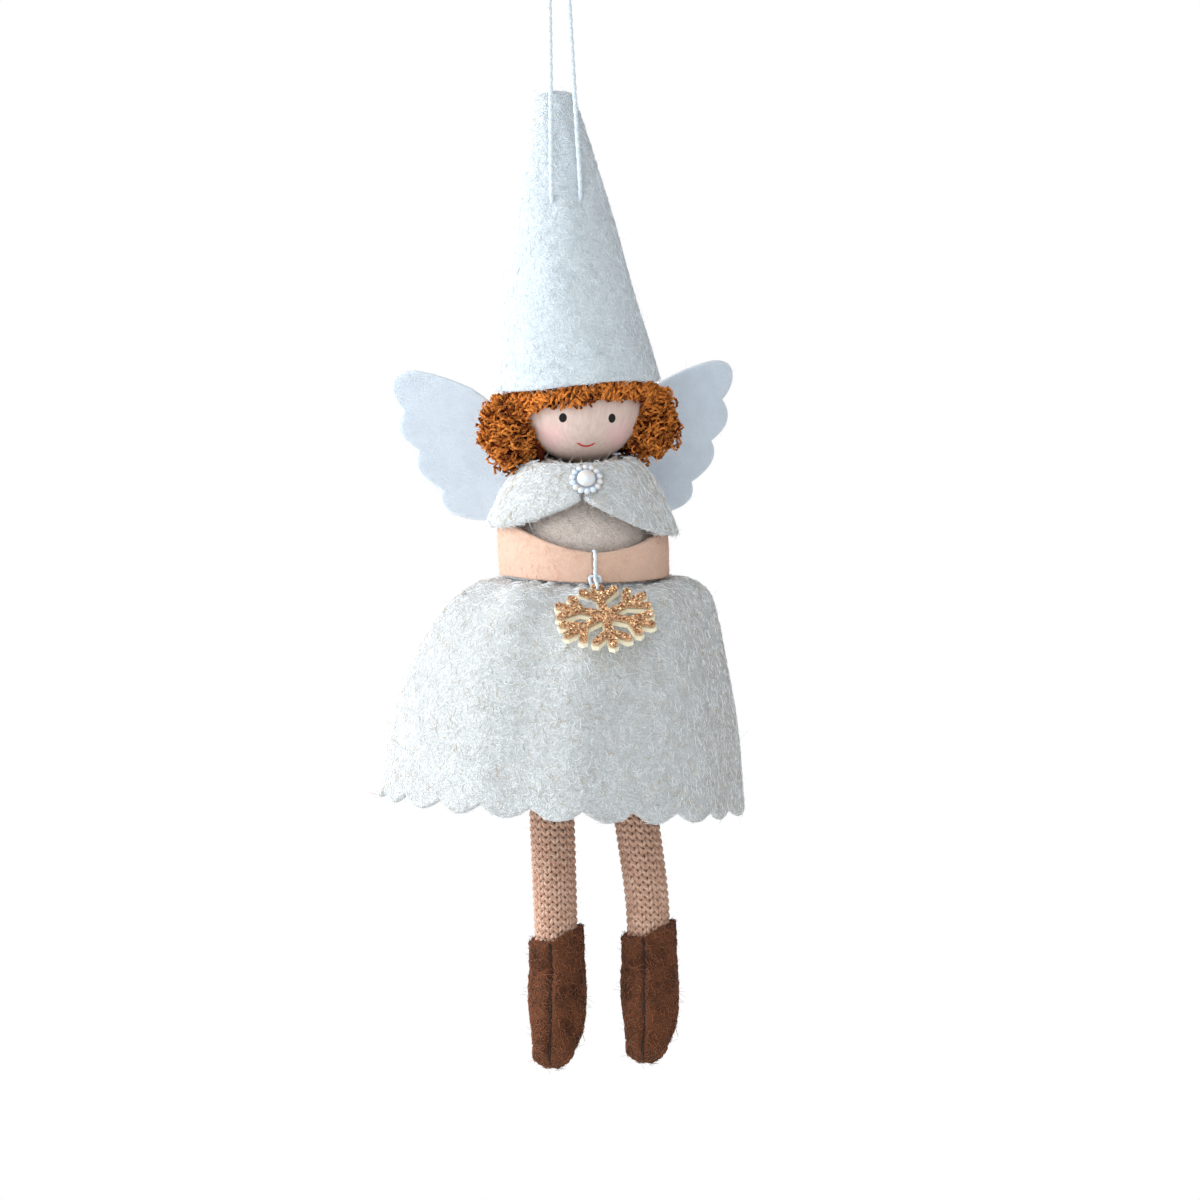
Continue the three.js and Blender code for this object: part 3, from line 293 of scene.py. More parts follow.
def mesh_object(name, vertices, faces, uvs=None, tidy=False):
    """A smooth mesh from vertices in millimetres and arrays of faces, each array with one number of
    corners. tidy merges doubles, closes poles and turns the faces outwards."""
    mesh = bpy.data.meshes.new(name)
    vertices = np.ascontiguousarray(vertices.reshape(-1, 3) * MM, dtype=np.float32)
    corners = np.concatenate([f.ravel() for f in faces]).astype(np.int32)
    sides = np.concatenate([np.full(len(f), f.shape[1]) for f in faces])
    mesh.vertices.add(len(vertices))
    mesh.vertices.foreach_set("co", vertices.ravel())
    mesh.loops.add(len(corners))
    mesh.loops.foreach_set("vertex_index", corners)
    mesh.polygons.add(len(sides))
    mesh.polygons.foreach_set("loop_start", (np.cumsum(sides) - sides).astype(np.int32))
    mesh.update(calc_edges=True)
    if uvs is not None:
        layer = mesh.uv_layers.new(name="UVMap")
        layer.data.foreach_set("uv", np.concatenate([u.ravel() for u in uvs]).astype(np.float32))
    if tidy:
        work = bmesh.new()
        work.from_mesh(mesh)
        bmesh.ops.remove_doubles(work, verts=work.verts, dist=1e-7)
        bmesh.ops.recalc_face_normals(work, faces=work.faces)
        work.to_mesh(mesh)
        work.free()
    mesh.polygons.foreach_set("use_smooth", np.ones(len(mesh.polygons), dtype=bool))
    mesh.update()
    made = bpy.data.objects.new(name, mesh)
    bpy.context.scene.collection.objects.link(made)
    return made


def read(items, key, width=3, kind=float):
    """One property of many mesh items as an array, width numbers to a row."""
    values = np.empty(len(items) * width, dtype=kind)
    items.foreach_get(key, values)
    return values.reshape(-1, width)


def set_numbers(piece, name, domain, values):
    """Gives each point or face of a piece a number for its material."""
    layer = piece.data.attributes.new(name, "FLOAT", domain)
    layer.data.foreach_set("value", values.astype(np.float32))


def grid_faces(nu, nv, wrap_u, wrap_v):
    """Quads of a grid of nu by nv points, numbered along v first."""
    i = np.arange(nu if wrap_u else nu - 1)[:, None]
    j = np.arange(nv if wrap_v else nv - 1)[None, :]
    k, m = (i + 1) % nu, (j + 1) % nv
    return np.stack((i * nv + j, k * nv + j, k * nv + m, i * nv + m), -1).reshape(-1, 4)


def surface(name, points, wrap_u=False, wrap_v=False, caps=False):
    """A mesh over a grid of points. caps closes the two ends of an open u with one face each."""
    nu, nv = points.shape[:2]
    faces = [grid_faces(nu, nv, wrap_u, wrap_v)]
    if caps:
        row = np.arange(nv)
        faces.append(np.stack((row, (nu - 1) * nv + row[::-1])))
    return mesh_object(name, points, faces, tidy=True)


def tubes(name, paths, radius, sides, ref, closed=False, ply=0.0, tone=None):
    """Round strands along many paths at once. paths is (strands, steps, 3), and ref a direction at each
    point that never runs along the path. A point is path + radius (cos a · n + sin a · b), with n the
    part of ref that is square to the path and b = t × n; with a ply, two ridges wind round the strand at
    that pitch. The UV map is the distance along in millimetres and the turn; tone is a number at each
    point of a path for the material."""
    strands, steps = paths.shape[:2]
    if closed:
        tangent = unit(np.roll(paths, -1, axis=1) - np.roll(paths, 1, axis=1))
    else:
        tangent = unit(np.gradient(paths, axis=1))
    normal = square_to(tangent, np.broadcast_to(ref, paths.shape))
    side = np.cross(tangent, normal)
    turn = tau * np.arange(sides) / sides
    radius = np.broadcast_to(radius, (strands, steps))[..., None, None]
    along = distance(paths)
    if ply:
        radius = radius * (1 + 0.16 * np.cos(2 * turn - tau * along[..., None] / ply))[..., None]
    spokes = np.cos(turn)[:, None] * normal[:, :, None] + np.sin(turn)[:, None] * side[:, :, None]
    points = paths[:, :, None] + radius * spokes
    first = (np.arange(strands) * steps * sides)[:, None]
    quads = (grid_faces(steps, sides, closed, True) + first[..., None]).reshape(-1, 4)
    i, j = np.meshgrid(np.arange(steps if closed else steps - 1), np.arange(sides), indexing="ij")
    u0, u1 = along[:, i], along[:, np.minimum(i + 1, steps - 1)]
    u = np.stack((u0, u1, u1, u0), -1)
    v = np.broadcast_to(np.stack((j, j, j + 1, j + 1), -1) / sides, u.shape)
    faces, uvs = [quads[:, ::-1]], [np.stack((u, v), -1).reshape(-1, 4, 2)[:, ::-1]]
    if not closed:
        cap = np.arange(sides)
        faces.append(np.concatenate((first + cap, first + (steps - 1) * sides + cap[::-1])))
        uvs.append(np.zeros((2 * strands, sides, 2)))
    made = mesh_object(name, points, faces, uvs)
    if tone is not None:
        set_numbers(made, "tone", "POINT", np.repeat(np.broadcast_to(tone, (strands, steps)), sides))
    return made


def scattered(source, count, rng, outwards=None):
    """Random places on a piece's faces by area, with normals. outwards(places, normals) weighs the
    faces."""
    polygons = source.data.polygons
    centres, normals = read(polygons, "center") / MM, read(polygons, "normal")
    areas = read(polygons, "area", 1)[:, 0]
    weights = areas if outwards is None else areas * outwards(centres, normals)
    pick = rng.choice(len(areas), count, p=weights / weights.sum())
    across = np.sqrt(areas[pick])[:, None] / MM * rng.uniform(-0.5, 0.5, (count, 1))
    return centres[pick] + across * random_square_to(normals[pick], rng), normals[pick]


def mostly_outside(places, normals):
    """Weighs faces that look away from the angel's upright ten times those that look towards it."""
    away = ((places - WAIST) * normals * (1, 1, 0)).sum(-1)
    return np.where(away > 0, 1.0, 0.1)


def fuzz(name, source, count, length, lift, width, seed):
    """Stray wool fibres. Each starts just under a face and follows p + L s (d cos a + n sin a) + L s² b:
    d along the surface, n its normal, a between the two angles of lift, b a random bend."""
    rng = np.random.default_rng(seed)
    start, out = scattered(source, count, rng)
    along = random_square_to(out, rng)
    angle = np.radians(rng.uniform(*lift, count))[:, None]
    reach = length * rng.uniform(0.45, 1.25, count)[:, None, None]
    heading = along * np.cos(angle) + out * np.sin(angle)
    bend = rng.normal(scale=0.33, size=(count, 3))
    s = np.linspace(0, 1, 5)[:, None]
    paths = (start - 0.12 * out)[:, None] + reach * (s * heading[:, None] + s**2 * bend[:, None])
    ref = np.cross(heading, out + 0.3 * rng.normal(size=(count, 3)))[:, None]
    return tubes(name, paths, width * np.linspace(1, 0.45, 5), 3, ref, tone=rng.random((count, 1)))


def matted(name, source, count, length, width, seed, outwards=mostly_outside):
    """Wool fibres that lie on a piece. Each bends over a face as p + L s d + L s² b + h (1 - 5 s²) n for
    s from -1/2 to 1/2: d and b along the surface, n its normal, h its height."""
    rng = np.random.default_rng(seed)
    middle, out = scattered(source, count, rng, outwards)
    along = random_square_to(out, rng)
    reach = length * rng.uniform(0.5, 1.3, (count, 1, 1))
    bend = rng.normal(scale=1.6, size=(count, 1, 1)) * np.cross(out, along)[:, None]
    height = rng.uniform(0.02, 0.16, (count, 1, 1))
    s = np.linspace(-0.5, 0.5, 5)[:, None]
    curve = reach * (s * along[:, None] + s**2 * bend) + height * (1 - 5 * s**2) * out[:, None]
    thin = width * np.array((0.5, 1, 1, 1, 0.5)) * rng.uniform(0.6, 1.2, (count, 1))
    return tubes(name, middle[:, None] + curve, thin, 3, out[:, None], tone=rng.random((count, 1)))


# Materials


class Socket:
    """What flows between nodes. Arithmetic on it adds Math nodes."""

    def __init__(self, tree, socket):
        self.tree, self.socket = tree, socket

    def maths(self, operation, *operands):
        return add_node(self.tree, "Math", 0, {"operation": operation}, operands)

    def __add__(self, other):
        return self.maths("ADD", self, other)

    def __sub__(self, other):
        return self.maths("SUBTRACT", self, other)

    def __rsub__(self, other):
        return self.maths("SUBTRACT", other, self)

    def __mul__(self, other):
        return self.maths("MULTIPLY", self, other)

    def __truediv__(self, other):
        return self.maths("DIVIDE", self, other)

    def __rtruediv__(self, other):
        return self.maths("DIVIDE", other, self)

    def __pow__(self, other):
        return self.maths("POWER", self, other)

    def __rpow__(self, other):
        return self.maths("POWER", other, self)

    def __abs__(self):
        return self.maths("ABSOLUTE", self)

    __radd__, __rmul__ = __add__, __mul__

    def sine(self):
        return self.maths("SINE", self)

    def squared(self):
        return self * self

    def clamped(self):
        return add_node(self.tree, "Clamp", 0, values=(self,))

    def between(self, low, high):
        """0 at low and 1 at high, smoothly; low may be the larger."""
        ends = {"From_Min": min(low, high), "From_Max": max(low, high)}
        result = add_node(self.tree, "MapRange", 0, {"interpolation_type": "SMOOTHSTEP"}, (self,), **ends)
        return 1 - result if low > high else result


def connect(tree, value, place):
    """Links a socket to a place, or writes a plain value there."""
    if isinstance(value, Socket):
        tree.links.new(value.socket, place)
    elif place.type == "RGBA":
        place.default_value = (*value, 1)
    else:
        place.default_value = value


def add_node(tree, kind, output, settings=None, values=(), **places):
    """Adds a node: its settings first, then what goes into its sockets, in their order or by their
    identifiers."""
    made = tree.nodes.new("ShaderNode" + kind)
    for key, value in (settings or {}).items():
        setattr(made, key, value)
    named = {place.identifier.replace(" ", "_"): place for place in made.inputs}
    for place, value in (*zip(made.inputs, values), *((named[key], places[key]) for key in places)):
        connect(tree, value, place)
    return Socket(tree, made.outputs[output])


class Finish:
    """One procedural material on a Principled shader, with constants for the shader's own sockets."""

    def __init__(self, name, roughness, **constants):
        self.material = bpy.data.materials.new(name)
        self.material.use_nodes = True
        self.tree = self.material.node_tree
        self.shader = self.tree.nodes["Principled BSDF"]
        for key, value in (constants | {"Roughness": roughness}).items():
            connect(self.tree, value, self.shader.inputs[key.replace("_", " ")])
        self.place = self.node("TexCoord", "Object")

    def node(self, kind, output, settings=None, values=(), **places):
        return add_node(self.tree, kind, output, settings, values, **places)

    def axes(self, vector):
        """The three numbers of a vector."""
        split = self.node("SeparateXYZ", "X", Vector=vector).socket.node
        return [Socket(self.tree, split.outputs[k]) for k in "XYZ"]

    def number(self, name):
        """The number that each point or face of a piece has under this name."""
        return self.node("Attribute", "Fac", {"attribute_name": name})

    def noise(self, scale, detail=2.0, distortion=0.0, rough=0.5, place=None):
        shape = {"Scale": scale, "Detail": detail, "Distortion": distortion, "Roughness": rough}
        return self.node("TexNoise", "Fac", Vector=place or self.place, **shape)

    def stretched(self, place, scale, rotation=(0, 0, 0)):
        return self.node("Mapping", "Vector", Vector=place, Scale=scale, Rotation=rotation)

    def mix(self, factor, first, second):
        """A colour between two colours."""
        colours = {"A_Color": first, "B_Color": second}
        return self.node("Mix", 2, {"data_type": "RGBA"}, Factor_Float=factor, **colours)

    def paint(self, base, roughness=None, height=None, strength=0.5, distance=0.0003):
        """Feeds the shader: colour, roughness, and a height that becomes a bump."""
        connect(self.tree, base, self.shader.inputs["Base Color"])
        if roughness is not None:
            connect(self.tree, roughness, self.shader.inputs["Roughness"])
        if height is not None:
            bump = self.node("Bump", "Normal", Height=height, Strength=strength, Distance=distance)
            connect(self.tree, bump, self.shader.inputs["Normal"])
        return self.material


def tint(value, factor):
    """A colour made lighter or darker by a factor."""
    return tuple(min(1.0, c * factor) for c in value)


def felt(name, light, dark, strength=0.7, mottle=0.5, scale=1.0, sheen=0.2, **constants):
    """Matted wool: crossing fibre lines from the crests of two bent noises, over cloudy mottling."""
    wool = {"Sheen_Weight": sheen, "Sheen_Roughness": 0.5, "Specular_IOR_Level": 0.15}
    finish = Finish(name, 0.95, **wool, **constants)
    clouds = finish.noise(330 * scale, 4, rough=0.6)
    crests = []
    for stretch in ((1.0, 0.45, 0.8), (0.5, 1.0, 1.1)):
        slanted = finish.stretched(finish.place, stretch, (0.4, 0.7, 0.9 * stretch[0]))
        lines = finish.noise(1100 * scale, 2, 2.4, place=slanted)
        crests.append((1 - abs(lines * 2 - 1)) ** 4)
    fibres = (crests[0] + crests[1]) * 0.5
    grain = finish.noise(4200 * scale)
    shade = (clouds.between(0.25, 0.75) * mottle + fibres * 0.5 + (0.55 - mottle / 2)).clamped()
    height = fibres * 0.8 + grain * 0.25 + clouds * 1.2
    return finish.paint(finish.mix(shade, dark, light), height=height, strength=strength, distance=0.0005)


def yarn(name, light, dark, ply=1.3, strength=0.6, sheen=0.1, gloss=0.5, toned=False):
    """Spun yarn: plies wind round the strand as sin(turn + along / ply), light and dark along its length.
    A toned yarn is lighter where its own tone is high; on the hair's curls that tone is painted light
    and shade."""
    finish = Finish(name, 0.75, Sheen_Weight=sheen, Sheen_Roughness=0.4, Specular_IOR_Level=gloss)
    along, turn, _ = finish.axes(finish.node("TexCoord", "UV"))
    twist = ((turn * 2 + along / ply) * tau).sine() * 0.5 + 0.5
    clouds = finish.noise(420, 3)
    hairs = finish.noise(4200, 2, 1.0)
    shade = twist * 0.3 + clouds * 0.7 + hairs * 0.3 - 0.25
    if toned:
        # The tone carries painted light and shade on the hair's curls.
        shade = shade * 0.5 + finish.number("tone") * 0.7 + clouds.between(0.4, 0.6) * 0.85 - 0.45
    height = twist * 0.7 + hairs * 0.5
    return finish.paint(finish.mix(shade.clamped(), dark, light), height=height, strength=strength)


def fibre(name, light, dark):
    """Loose wool fibre, lighter or darker by its own tone; only the lowest tones are really dark."""
    finish = Finish(name, 0.9, Sheen_Weight=0.1, Specular_IOR_Level=0.15)
    shade = finish.number("tone") * 4 + finish.noise(500) * 0.8 - 0.4
    return finish.paint(finish.mix(shade.clamped(), dark, light))


def wood(name, light, dark):
    """Turned wood: fine upright grain from noise stretched along Z."""
    finish = Finish(name, 0.55)
    grain = finish.noise(900, 3, 0.4, place=finish.stretched(finish.place, (1, 1, 0.09)))
    return finish.paint(finish.mix(grain, dark, light), height=grain, strength=0.15, distance=0.0001)


def painted_face(colours):
    """The ball's stained wood with painted eyes, smile and blush, in a frame of millimetres whose middle
    is the ball's: ellipses for eyes, a ring's lower arc for the mouth, soft discs for the cheeks."""
    finish = Finish("painted_face", 0.5, Specular_IOR_Level=0.2)
    head = {"Location": tuple((HEAD + WAIST) * MM), "Rotation": (0, -HEAD_LEAN, 0), "Scale": (MM, MM, MM)}
    local = finish.node("Mapping", "Vector", {"vector_type": "TEXTURE"}, Vector=finish.place, **head)
    x, y, z = finish.axes(local)
    front = y.between(-3, -6)
    grain = finish.noise(1.3, 3, 0.5, place=finish.stretched(local, (1, 1, 0.12)))
    base = finish.mix(grain.between(0.25, 0.8), tint(colours.face, 0.9), tint(colours.face, 1.06))
    from_cheek = ((abs(x + 0.1) - 6.9).squared() + (z + 7.3).squared()) ** 0.5
    base = finish.mix((from_cheek.between(4.2, 0.4) * front * 0.42).clamped(), base, colours.blush)
    from_smile = abs((x.squared() + (z + 6.7).squared()) ** 0.5 - 2.45)
    smile = from_smile.between(0.24, 0.13) * z.between(-8.35, -8.6) * front
    base = finish.mix(smile.clamped(), base, srgb(196, 70, 66))
    from_eye = ((abs(x) - 4.86).squared() / 0.56 + (z + 3.6).squared() / 0.84) ** 0.5
    base = finish.mix((from_eye.between(1.08, 0.92) * front).clamped(), base, srgb(22, 18, 18))
    return finish.paint(base, height=grain, strength=0.1, distance=0.0001)


def pearl(name):
    """Pearl lustre: clouds of warm and cool white under a clear coat."""
    finish = Finish(name, 0.25, Coat_Weight=0.5, Coat_Roughness=0.08)
    return finish.paint(
        finish.mix(finish.noise(620).between(0.35, 0.65), srgb(226, 214, 206), srgb(212, 226, 240))
    )


def silver(name):
    """Pressed metal plate, dulled unevenly."""
    finish = Finish(name, 0.35, Metallic=0.9)
    dull = finish.noise(1500, 3)
    return finish.paint(finish.mix(dull, srgb(120, 124, 132), srgb(186, 190, 198)), 0.25 + dull * 0.3)


def glitter_ground(name, value):
    """The ground under the glitter grains: rough metal-coated paper, speckled by cells."""
    finish = Finish(name, 0.45, Metallic=0.5)
    cells = finish.node("TexVoronoi", "Color", Vector=finish.place, Scale=3600.0)
    red = finish.axes(cells)[0]
    return finish.paint(finish.mix(red, tint(value, 0.25), tint(value, 1.15)), height=red, strength=0.8)


def glitter_grain(name, value):
    """Glitter grains: metal flakes whose colour runs from bronze to pale gold by each grain's own
    number."""
    finish = Finish(name, 0.22, Metallic=0.85)
    number = finish.number("grain")
    dark_to_mid = finish.mix(number.between(0.0, 0.55), tint(value, 0.24), value)
    return finish.paint(finish.mix(number.between(0.6, 1.0), dark_to_mid, srgb(255, 226, 170)))


def card(name, value):
    """Cream foam card with a faint tooth."""
    finish = Finish(name, 0.7)
    tooth = finish.noise(2600)
    shades = finish.mix(tooth, tint(value, 0.9), value)
    return finish.paint(shades, height=tooth, strength=0.2, distance=0.0001)


# Light passes through the thin felt of the wings.
THIN_FELT = {"Subsurface_Weight": 1.0, "Subsurface_Radius": (1.0, 1.0, 1.0), "Subsurface_Scale": 0.0015}
# How each finish is made from its name and the scene's colours.
FINISHES = {
    "white_felt": lambda name, c: felt(name, c.white, tint(c.white, 0.77), 0.8),
    "cream_felt": lambda name, c: felt(name, c.cream, srgb(197, 197, 193), 0.9, 0.6, 0.9),
    "wing_felt": lambda name, c: felt(name, tint(c.wing, 1.04), tint(c.wing, 0.9), 0.5, **THIN_FELT),
    "beige_felt": lambda name, c: felt(name, tint(c.beige, 1.16), tint(c.beige, 0.72), 0.9),
    "skin_felt": lambda name, c: felt(name, tint(c.skin, 1.04), tint(c.skin, 0.84), 0.7, 0.4, 2.2),
    "boot_felt": lambda name, c: felt(name, tint(c.boot, 2.2), tint(c.boot, 0.25), 0.9, 1.0, 0.7, 0.03),
    "white_fibre": lambda name, c: fibre(name, (0.9, 0.96, 1.0), tint(c.white, 0.68)),
    "wing_fibre": lambda name, c: fibre(name, tint(c.wing, 1.1), tint(c.wing, 0.9)),
    "cream_fibre": lambda name, c: fibre(name, (0.94, 0.95, 0.96), srgb(204, 186, 160)),
    "boot_fibre": lambda name, c: fibre(name, tint(c.boot, 3.6), tint(c.boot, 0.5)),
    "skin_fibre": lambda name, c: fibre(name, tint(c.skin, 1.05), tint(c.skin, 0.78)),
    "beige_fibre": lambda name, c: fibre(name, tint(c.beige, 1.15), tint(c.beige, 0.7)),
    "knit_fibre": lambda name, c: fibre(name, tint(c.knit_light, 1.1), c.knit_dark),
    "hair_fibre": lambda name, c: fibre(name, c.hair, tint(c.hair, 0.45)),
    "hair_yarn": lambda name, c: yarn(name, c.hair, c.hair_dark, 1.1, 0.9, 0.0, 0.1, True),
    # Painted shade: the dark cores under the hair's curls stand for the shade between them.
    "hair_shade": lambda name, c: yarn(
        name, tint(c.hair_dark, 0.5), tint(c.hair_dark, 0.3), sheen=0.0, gloss=0.1
    ),
    "knit_yarn": lambda name, c: yarn(name, c.knit_light, c.knit_dark, 1.7),
    # Painted shade: the dark filling seen between the stitches.
    "knit_shade": lambda name, c: felt(name, tint(c.knit_dark, 0.9), tint(c.knit_dark, 0.6), sheen=0.0),
    "white_thread": lambda name, c: yarn(name, (0.82, 0.88, 0.93), (0.58, 0.66, 0.73), 0.9, 0.4),
    # A dark seam thread that also stands for painted shade in the seam.
    "boot_thread": lambda name, c: yarn(name, tint(c.boot, 0.35), tint(c.boot, 0.12), 1.2, 0.5, 0.0),
    "face": lambda name, c: painted_face(c),
    "peg_wood": lambda name, c: wood(name, srgb(222, 192, 146), srgb(190, 152, 104)),
    "pearl": lambda name, c: pearl(name),
    "silver": lambda name, c: silver(name),
    "glitter_ground": lambda name, c: glitter_ground(name, c.glitter),
    "glitter_grain": lambda name, c: glitter_grain(name, c.glitter),
    "cream_card": lambda name, c: card(name, c.backing),
}
MATERIALS = {}


def coat(piece, finish):
    """Gives a piece one material and no other. Each finish is made once."""
    if finish not in MATERIALS:
        MATERIALS[finish] = FINISHES[finish](finish, bpy.context.scene.angel_colours)
    piece.data.materials.clear()
    piece.data.materials.append(MATERIALS[finish])


def dress(piece, finish, slot, body="torso", nodes=()):
    """Gives a piece its material, sets it on its body and hides the CAD nodes that it stands for. The slot
    is not used."""
    coat(piece, finish)
    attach(piece, body)
    if nodes:
        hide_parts(*nodes)
    return piece


# Cord and threads

# The route of the cord from the knot inside the hat to the top of its loop, in millimetres. The other half
# is its mirror image.
CORD_STRAND = [
    (-1.75, 3.85, -72.2), (-2.35, 2.5, -72), (-2.75, 1.2, -71.3), (-2.85, 0.35, -69.9), (-2.85, 0.05, -67.5),
    (-2.75, 0, -63), (-2.5, 0, -55), (-2.2, 0, -44), (-1.95, 0, -32), (-1.85, 0, -20),
    (-1.8, 0, -10), (-1.8, 0, -4), (-1.8, 0, -1.35), (-1.27, 0, -0.08), (0, 0, 0.45),
]


class ANGEL_OT_cord(bpy.types.Operator):
    """Twisted hanging cord: a tube along the two strands and the bight that joins them. The twist's
    direction turns from Y to X where the strands bend into the hat."""

    bl_idname = "angel.cord"
    bl_label = "Hanging cord"

    def execute(self, context):
        half = np.array(CORD_STRAND, float)
        route = np.concatenate((half, half[-2::-1] * (-1, 1, 1)))
        path = evenly(spline(route, np.linspace(0, 1, 900)), 620)
        diameter = context.scene.angel_sizes.cord
        inward = smooth(path[:, 2:], -66, -70.5)
        ref = np.concatenate((inward, 1 - inward, 0 * inward), 1)
        piece = tubes("hanging_cord_twist", path[None], diameter / 2 / MM * 0.95, 10, ref, ply=2.2)
        dress(piece, "white_thread", "thread", nodes=("hanging_cord",))
        return {"FINISHED"}


def charm_frame():
    """Middle of the charm's hole, its up-slope direction and its face's direction, in millimetres."""
    slope, roll = radians(33.13), radians(-5)
    hole = np.array((0.0, -(ARM_RADIUS + 4.16), 0.84))
    up, out = (turned(turned(axis, "X", slope), "Y", roll) for axis in ((0, 1, 0), (0, 0, 1)))
    return hole, up, out


def thread_ring(name, node, path, radius, sides, ref, body="torso", ply=0.0):
    """A closed thread along a path, in the place of one CAD node."""
    piece = tubes(name, path[None], radius, sides, ref, closed=True, ply=ply)
    dress(piece, "white_thread", "thread", body, (node,))


class ANGEL_OT_threads(bpy.types.Operator):
    """Threads: a rounded square round the hands, the charm's loop from the hands through its hole, a ring
    as waist tie, and trefoil knots, (a + b cos 3s) round at 2s and sin 3s high, that carry the legs."""

    bl_idname = "angel.threads"
    bl_label = "Threads"

    def charm_loop(self, radius):
        """The charm's loop and a direction across it at each point."""
        hole, up, out = charm_frame()
        hands = np.array((0.0, -ARM_RADIUS - GAP - radius, 4.08))
        past_tip = (1 - CHARM_HOLE_REACH) * CHARM_RADIUS + GAP
        tip = hole + up * past_tip
        face = CHARM_BACK / 2 + GAP + CHARM_GLITTER + GAP + radius
        back = -CHARM_BACK / 2 - GAP - radius
        side = 0.95

        def strand(share, across):
            return hands + (tip - hands) * share + (across, 0, 0)

        def on_charm(rise, lift):
            return hole + up * rise + out * lift

        corners = np.array((
            strand(0.03, 0),
            strand(0.15, side),
            strand(0.6, side),
            on_charm(past_tip, face),
            on_charm(2 * radius, face),
            on_charm(0, face - 2 * radius),
            on_charm(0, back + 2 * radius),
            on_charm(2 * radius, back),
            on_charm(past_tip, back),
            strand(0.6, -side),
            strand(0.15, -side),
        ))
        loop = closed_spline(corners, 140)
        return loop, closed_spline(np.cross(up, corners - loop.mean(0)) + 0.2 * out, 140)

    def execute(self, context):
        radius = context.scene.angel_sizes.thread / 2 / MM
        angle = around(110)
        square = np.concatenate((np.sin(angle), np.cos(angle), np.sin(angle)), 1)
        square = np.sign(square) * np.abs(square) ** 0.5
        hands = square * (0.12, 1.75, 3.25) + (0, -16.8, 5.6) + WAIST
        thread_ring("hand_thread_turn", "hand_thread", hands, radius, 8, (1, 0, 0), ply=1.6)

        loop, across = self.charm_loop(radius)
        loop = loop + WAIST
        thread_ring("charm_thread_loop", "charm_thread", loop, radius * 0.9, 8, across, "charm_loop", 1.5)

        angle = around(240)[:, 0]
        tie = in_skirt(ring(15.05, angle, -0.55 + 0.08 * np.sin(7 * angle)))
        thread_ring("waist_tie_thread", "waist_tie", tie, 0.24, 6, (0, 0, 1))

        s = around(120)[:, 0]
        out = 0.55 + 0.3 * np.cos(3 * s)
        knot = np.stack((out * np.cos(2 * s), out * np.sin(2 * s), 0.5 * np.sin(3 * s)), -1)
        for side, hip in HIPS.items():
            path, ref = knot + hip + WAIST, knot + (0, 0, 0.01)
            thread_ring(f"{side}_hip_tie", f"{side}_hip_knot", path, 0.42, 7, ref, f"{side}_hip")
        return {"FINISHED"}


# Hat and head


class ANGEL_OT_hat(bpy.types.Operator):
    """Felt cone: a wall carried round the upright, radius straight from brim to tip plus a small swell,
    with a rounded tip, a soft brim, a back seam and dimples where the cord goes in."""

    bl_idname = "angel.hat"
    bl_label = "Hat"

    def execute(self, context):
        sizes = context.scene.angel_sizes
        height, brim, tip = sizes.hat_height / MM, sizes.hat_brim / MM, sizes.hat_tip / MM
        wall = sizes.felt / MM
        tip_round, brim_height = 1.5, 3.4

        def radius_at(h):
            share = h / height
            return brim + (tip - brim) * share + 0.5 * np.sin(pi * share)

        fall = np.linspace(0.02, pi / 2, 9)[:-1]
        top = height - tip_round
        cap = np.stack((radius_at(top) * np.sin(fall), height - tip_round * (1 - np.cos(fall))), -1)
        down = np.linspace(top, 0, 90)
        outer = np.stack((radius_at(down), down), -1)
        edge = half_turn()
        rim = np.stack((brim - wall / 2 + wall / 2 * np.cos(edge), -0.4 * wall * np.sin(edge)), -1)
        rise = np.linspace(0, height - 3.2, 16)
        inner = np.stack((radius_at(rise) - wall, rise), -1)
        r, z = np.concatenate(([[0, height]], cap, outer, rim, inner, [[0, height - 3.0]])).T
        angle = around(220)
        wobble = 0.16 * np.sin(2 * angle + z / 11) + 0.1 * np.sin(5 * angle - z / 7)
        wobble = wobble + 0.07 * np.sin(9 * angle + z / 4)
        off_seam = (angle - pi) * np.maximum(r, 0.5)
        seam = -0.4 * bell(off_seam, 0.35) + 0.22 * bell(np.abs(off_seam) - 0.8, 0.5)
        relief = np.clip(r / 6, 0, 1) * (wobble + seam)
        droop = 0.28 * np.sin(3 * angle + 0.8) * smooth(z, 9, 0)
        points = in_head(ring(r + relief, angle, z + droop + brim_height) + HAT_SIDE)
        for x in (-2.8, 2.8):
            from_hole = np.linalg.norm(points - (x, 0.6, -71.2), axis=-1)[..., None]
            points = points + bell(from_hole, 1.1) * (0, 0.55, 0)
        piece = surface("hat_felt", points, wrap_u=True)
        dress(piece, "white_felt", "felt_white", nodes=("hat", "hat_stuffing", "cord_knot"))
        dress(matted("hat_mat", piece, 5000, 1.7, 0.054, 11), "white_fibre", "felt_white")
        dress(fuzz("hat_fibres", piece, 900, 1.7, (4, 38), 0.04, 12), "white_fibre", "felt_white")
        return {"FINISHED"}


class ANGEL_OT_head(bpy.types.Operator):
    """Painted ball, a sphere of radius R by longitude and latitude, and the peg that carries it."""

    bl_idname = "angel.head"
    bl_label = "Head"

    def execute(self, context):
        radius = context.scene.angel_sizes.head_radius / MM
        piece = surface("head_ball_wood", globe(radius, 128, 65) + HEAD + WAIST, wrap_u=True)
        dress(piece, "face", "painted_wood", nodes=("head_ball",))
        coat(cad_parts["neck_peg"], "peg_wood")
        return {"FINISHED"}


def path_frame(paths, outs):
    """Distance along each path, and at each point the direction outwards, square to it, and the one
    square to both."""
    tangent = unit(np.gradient(paths, axis=1))
    out = square_to(tangent, outs)
    return distance(paths), out, np.cross(tangent, out)


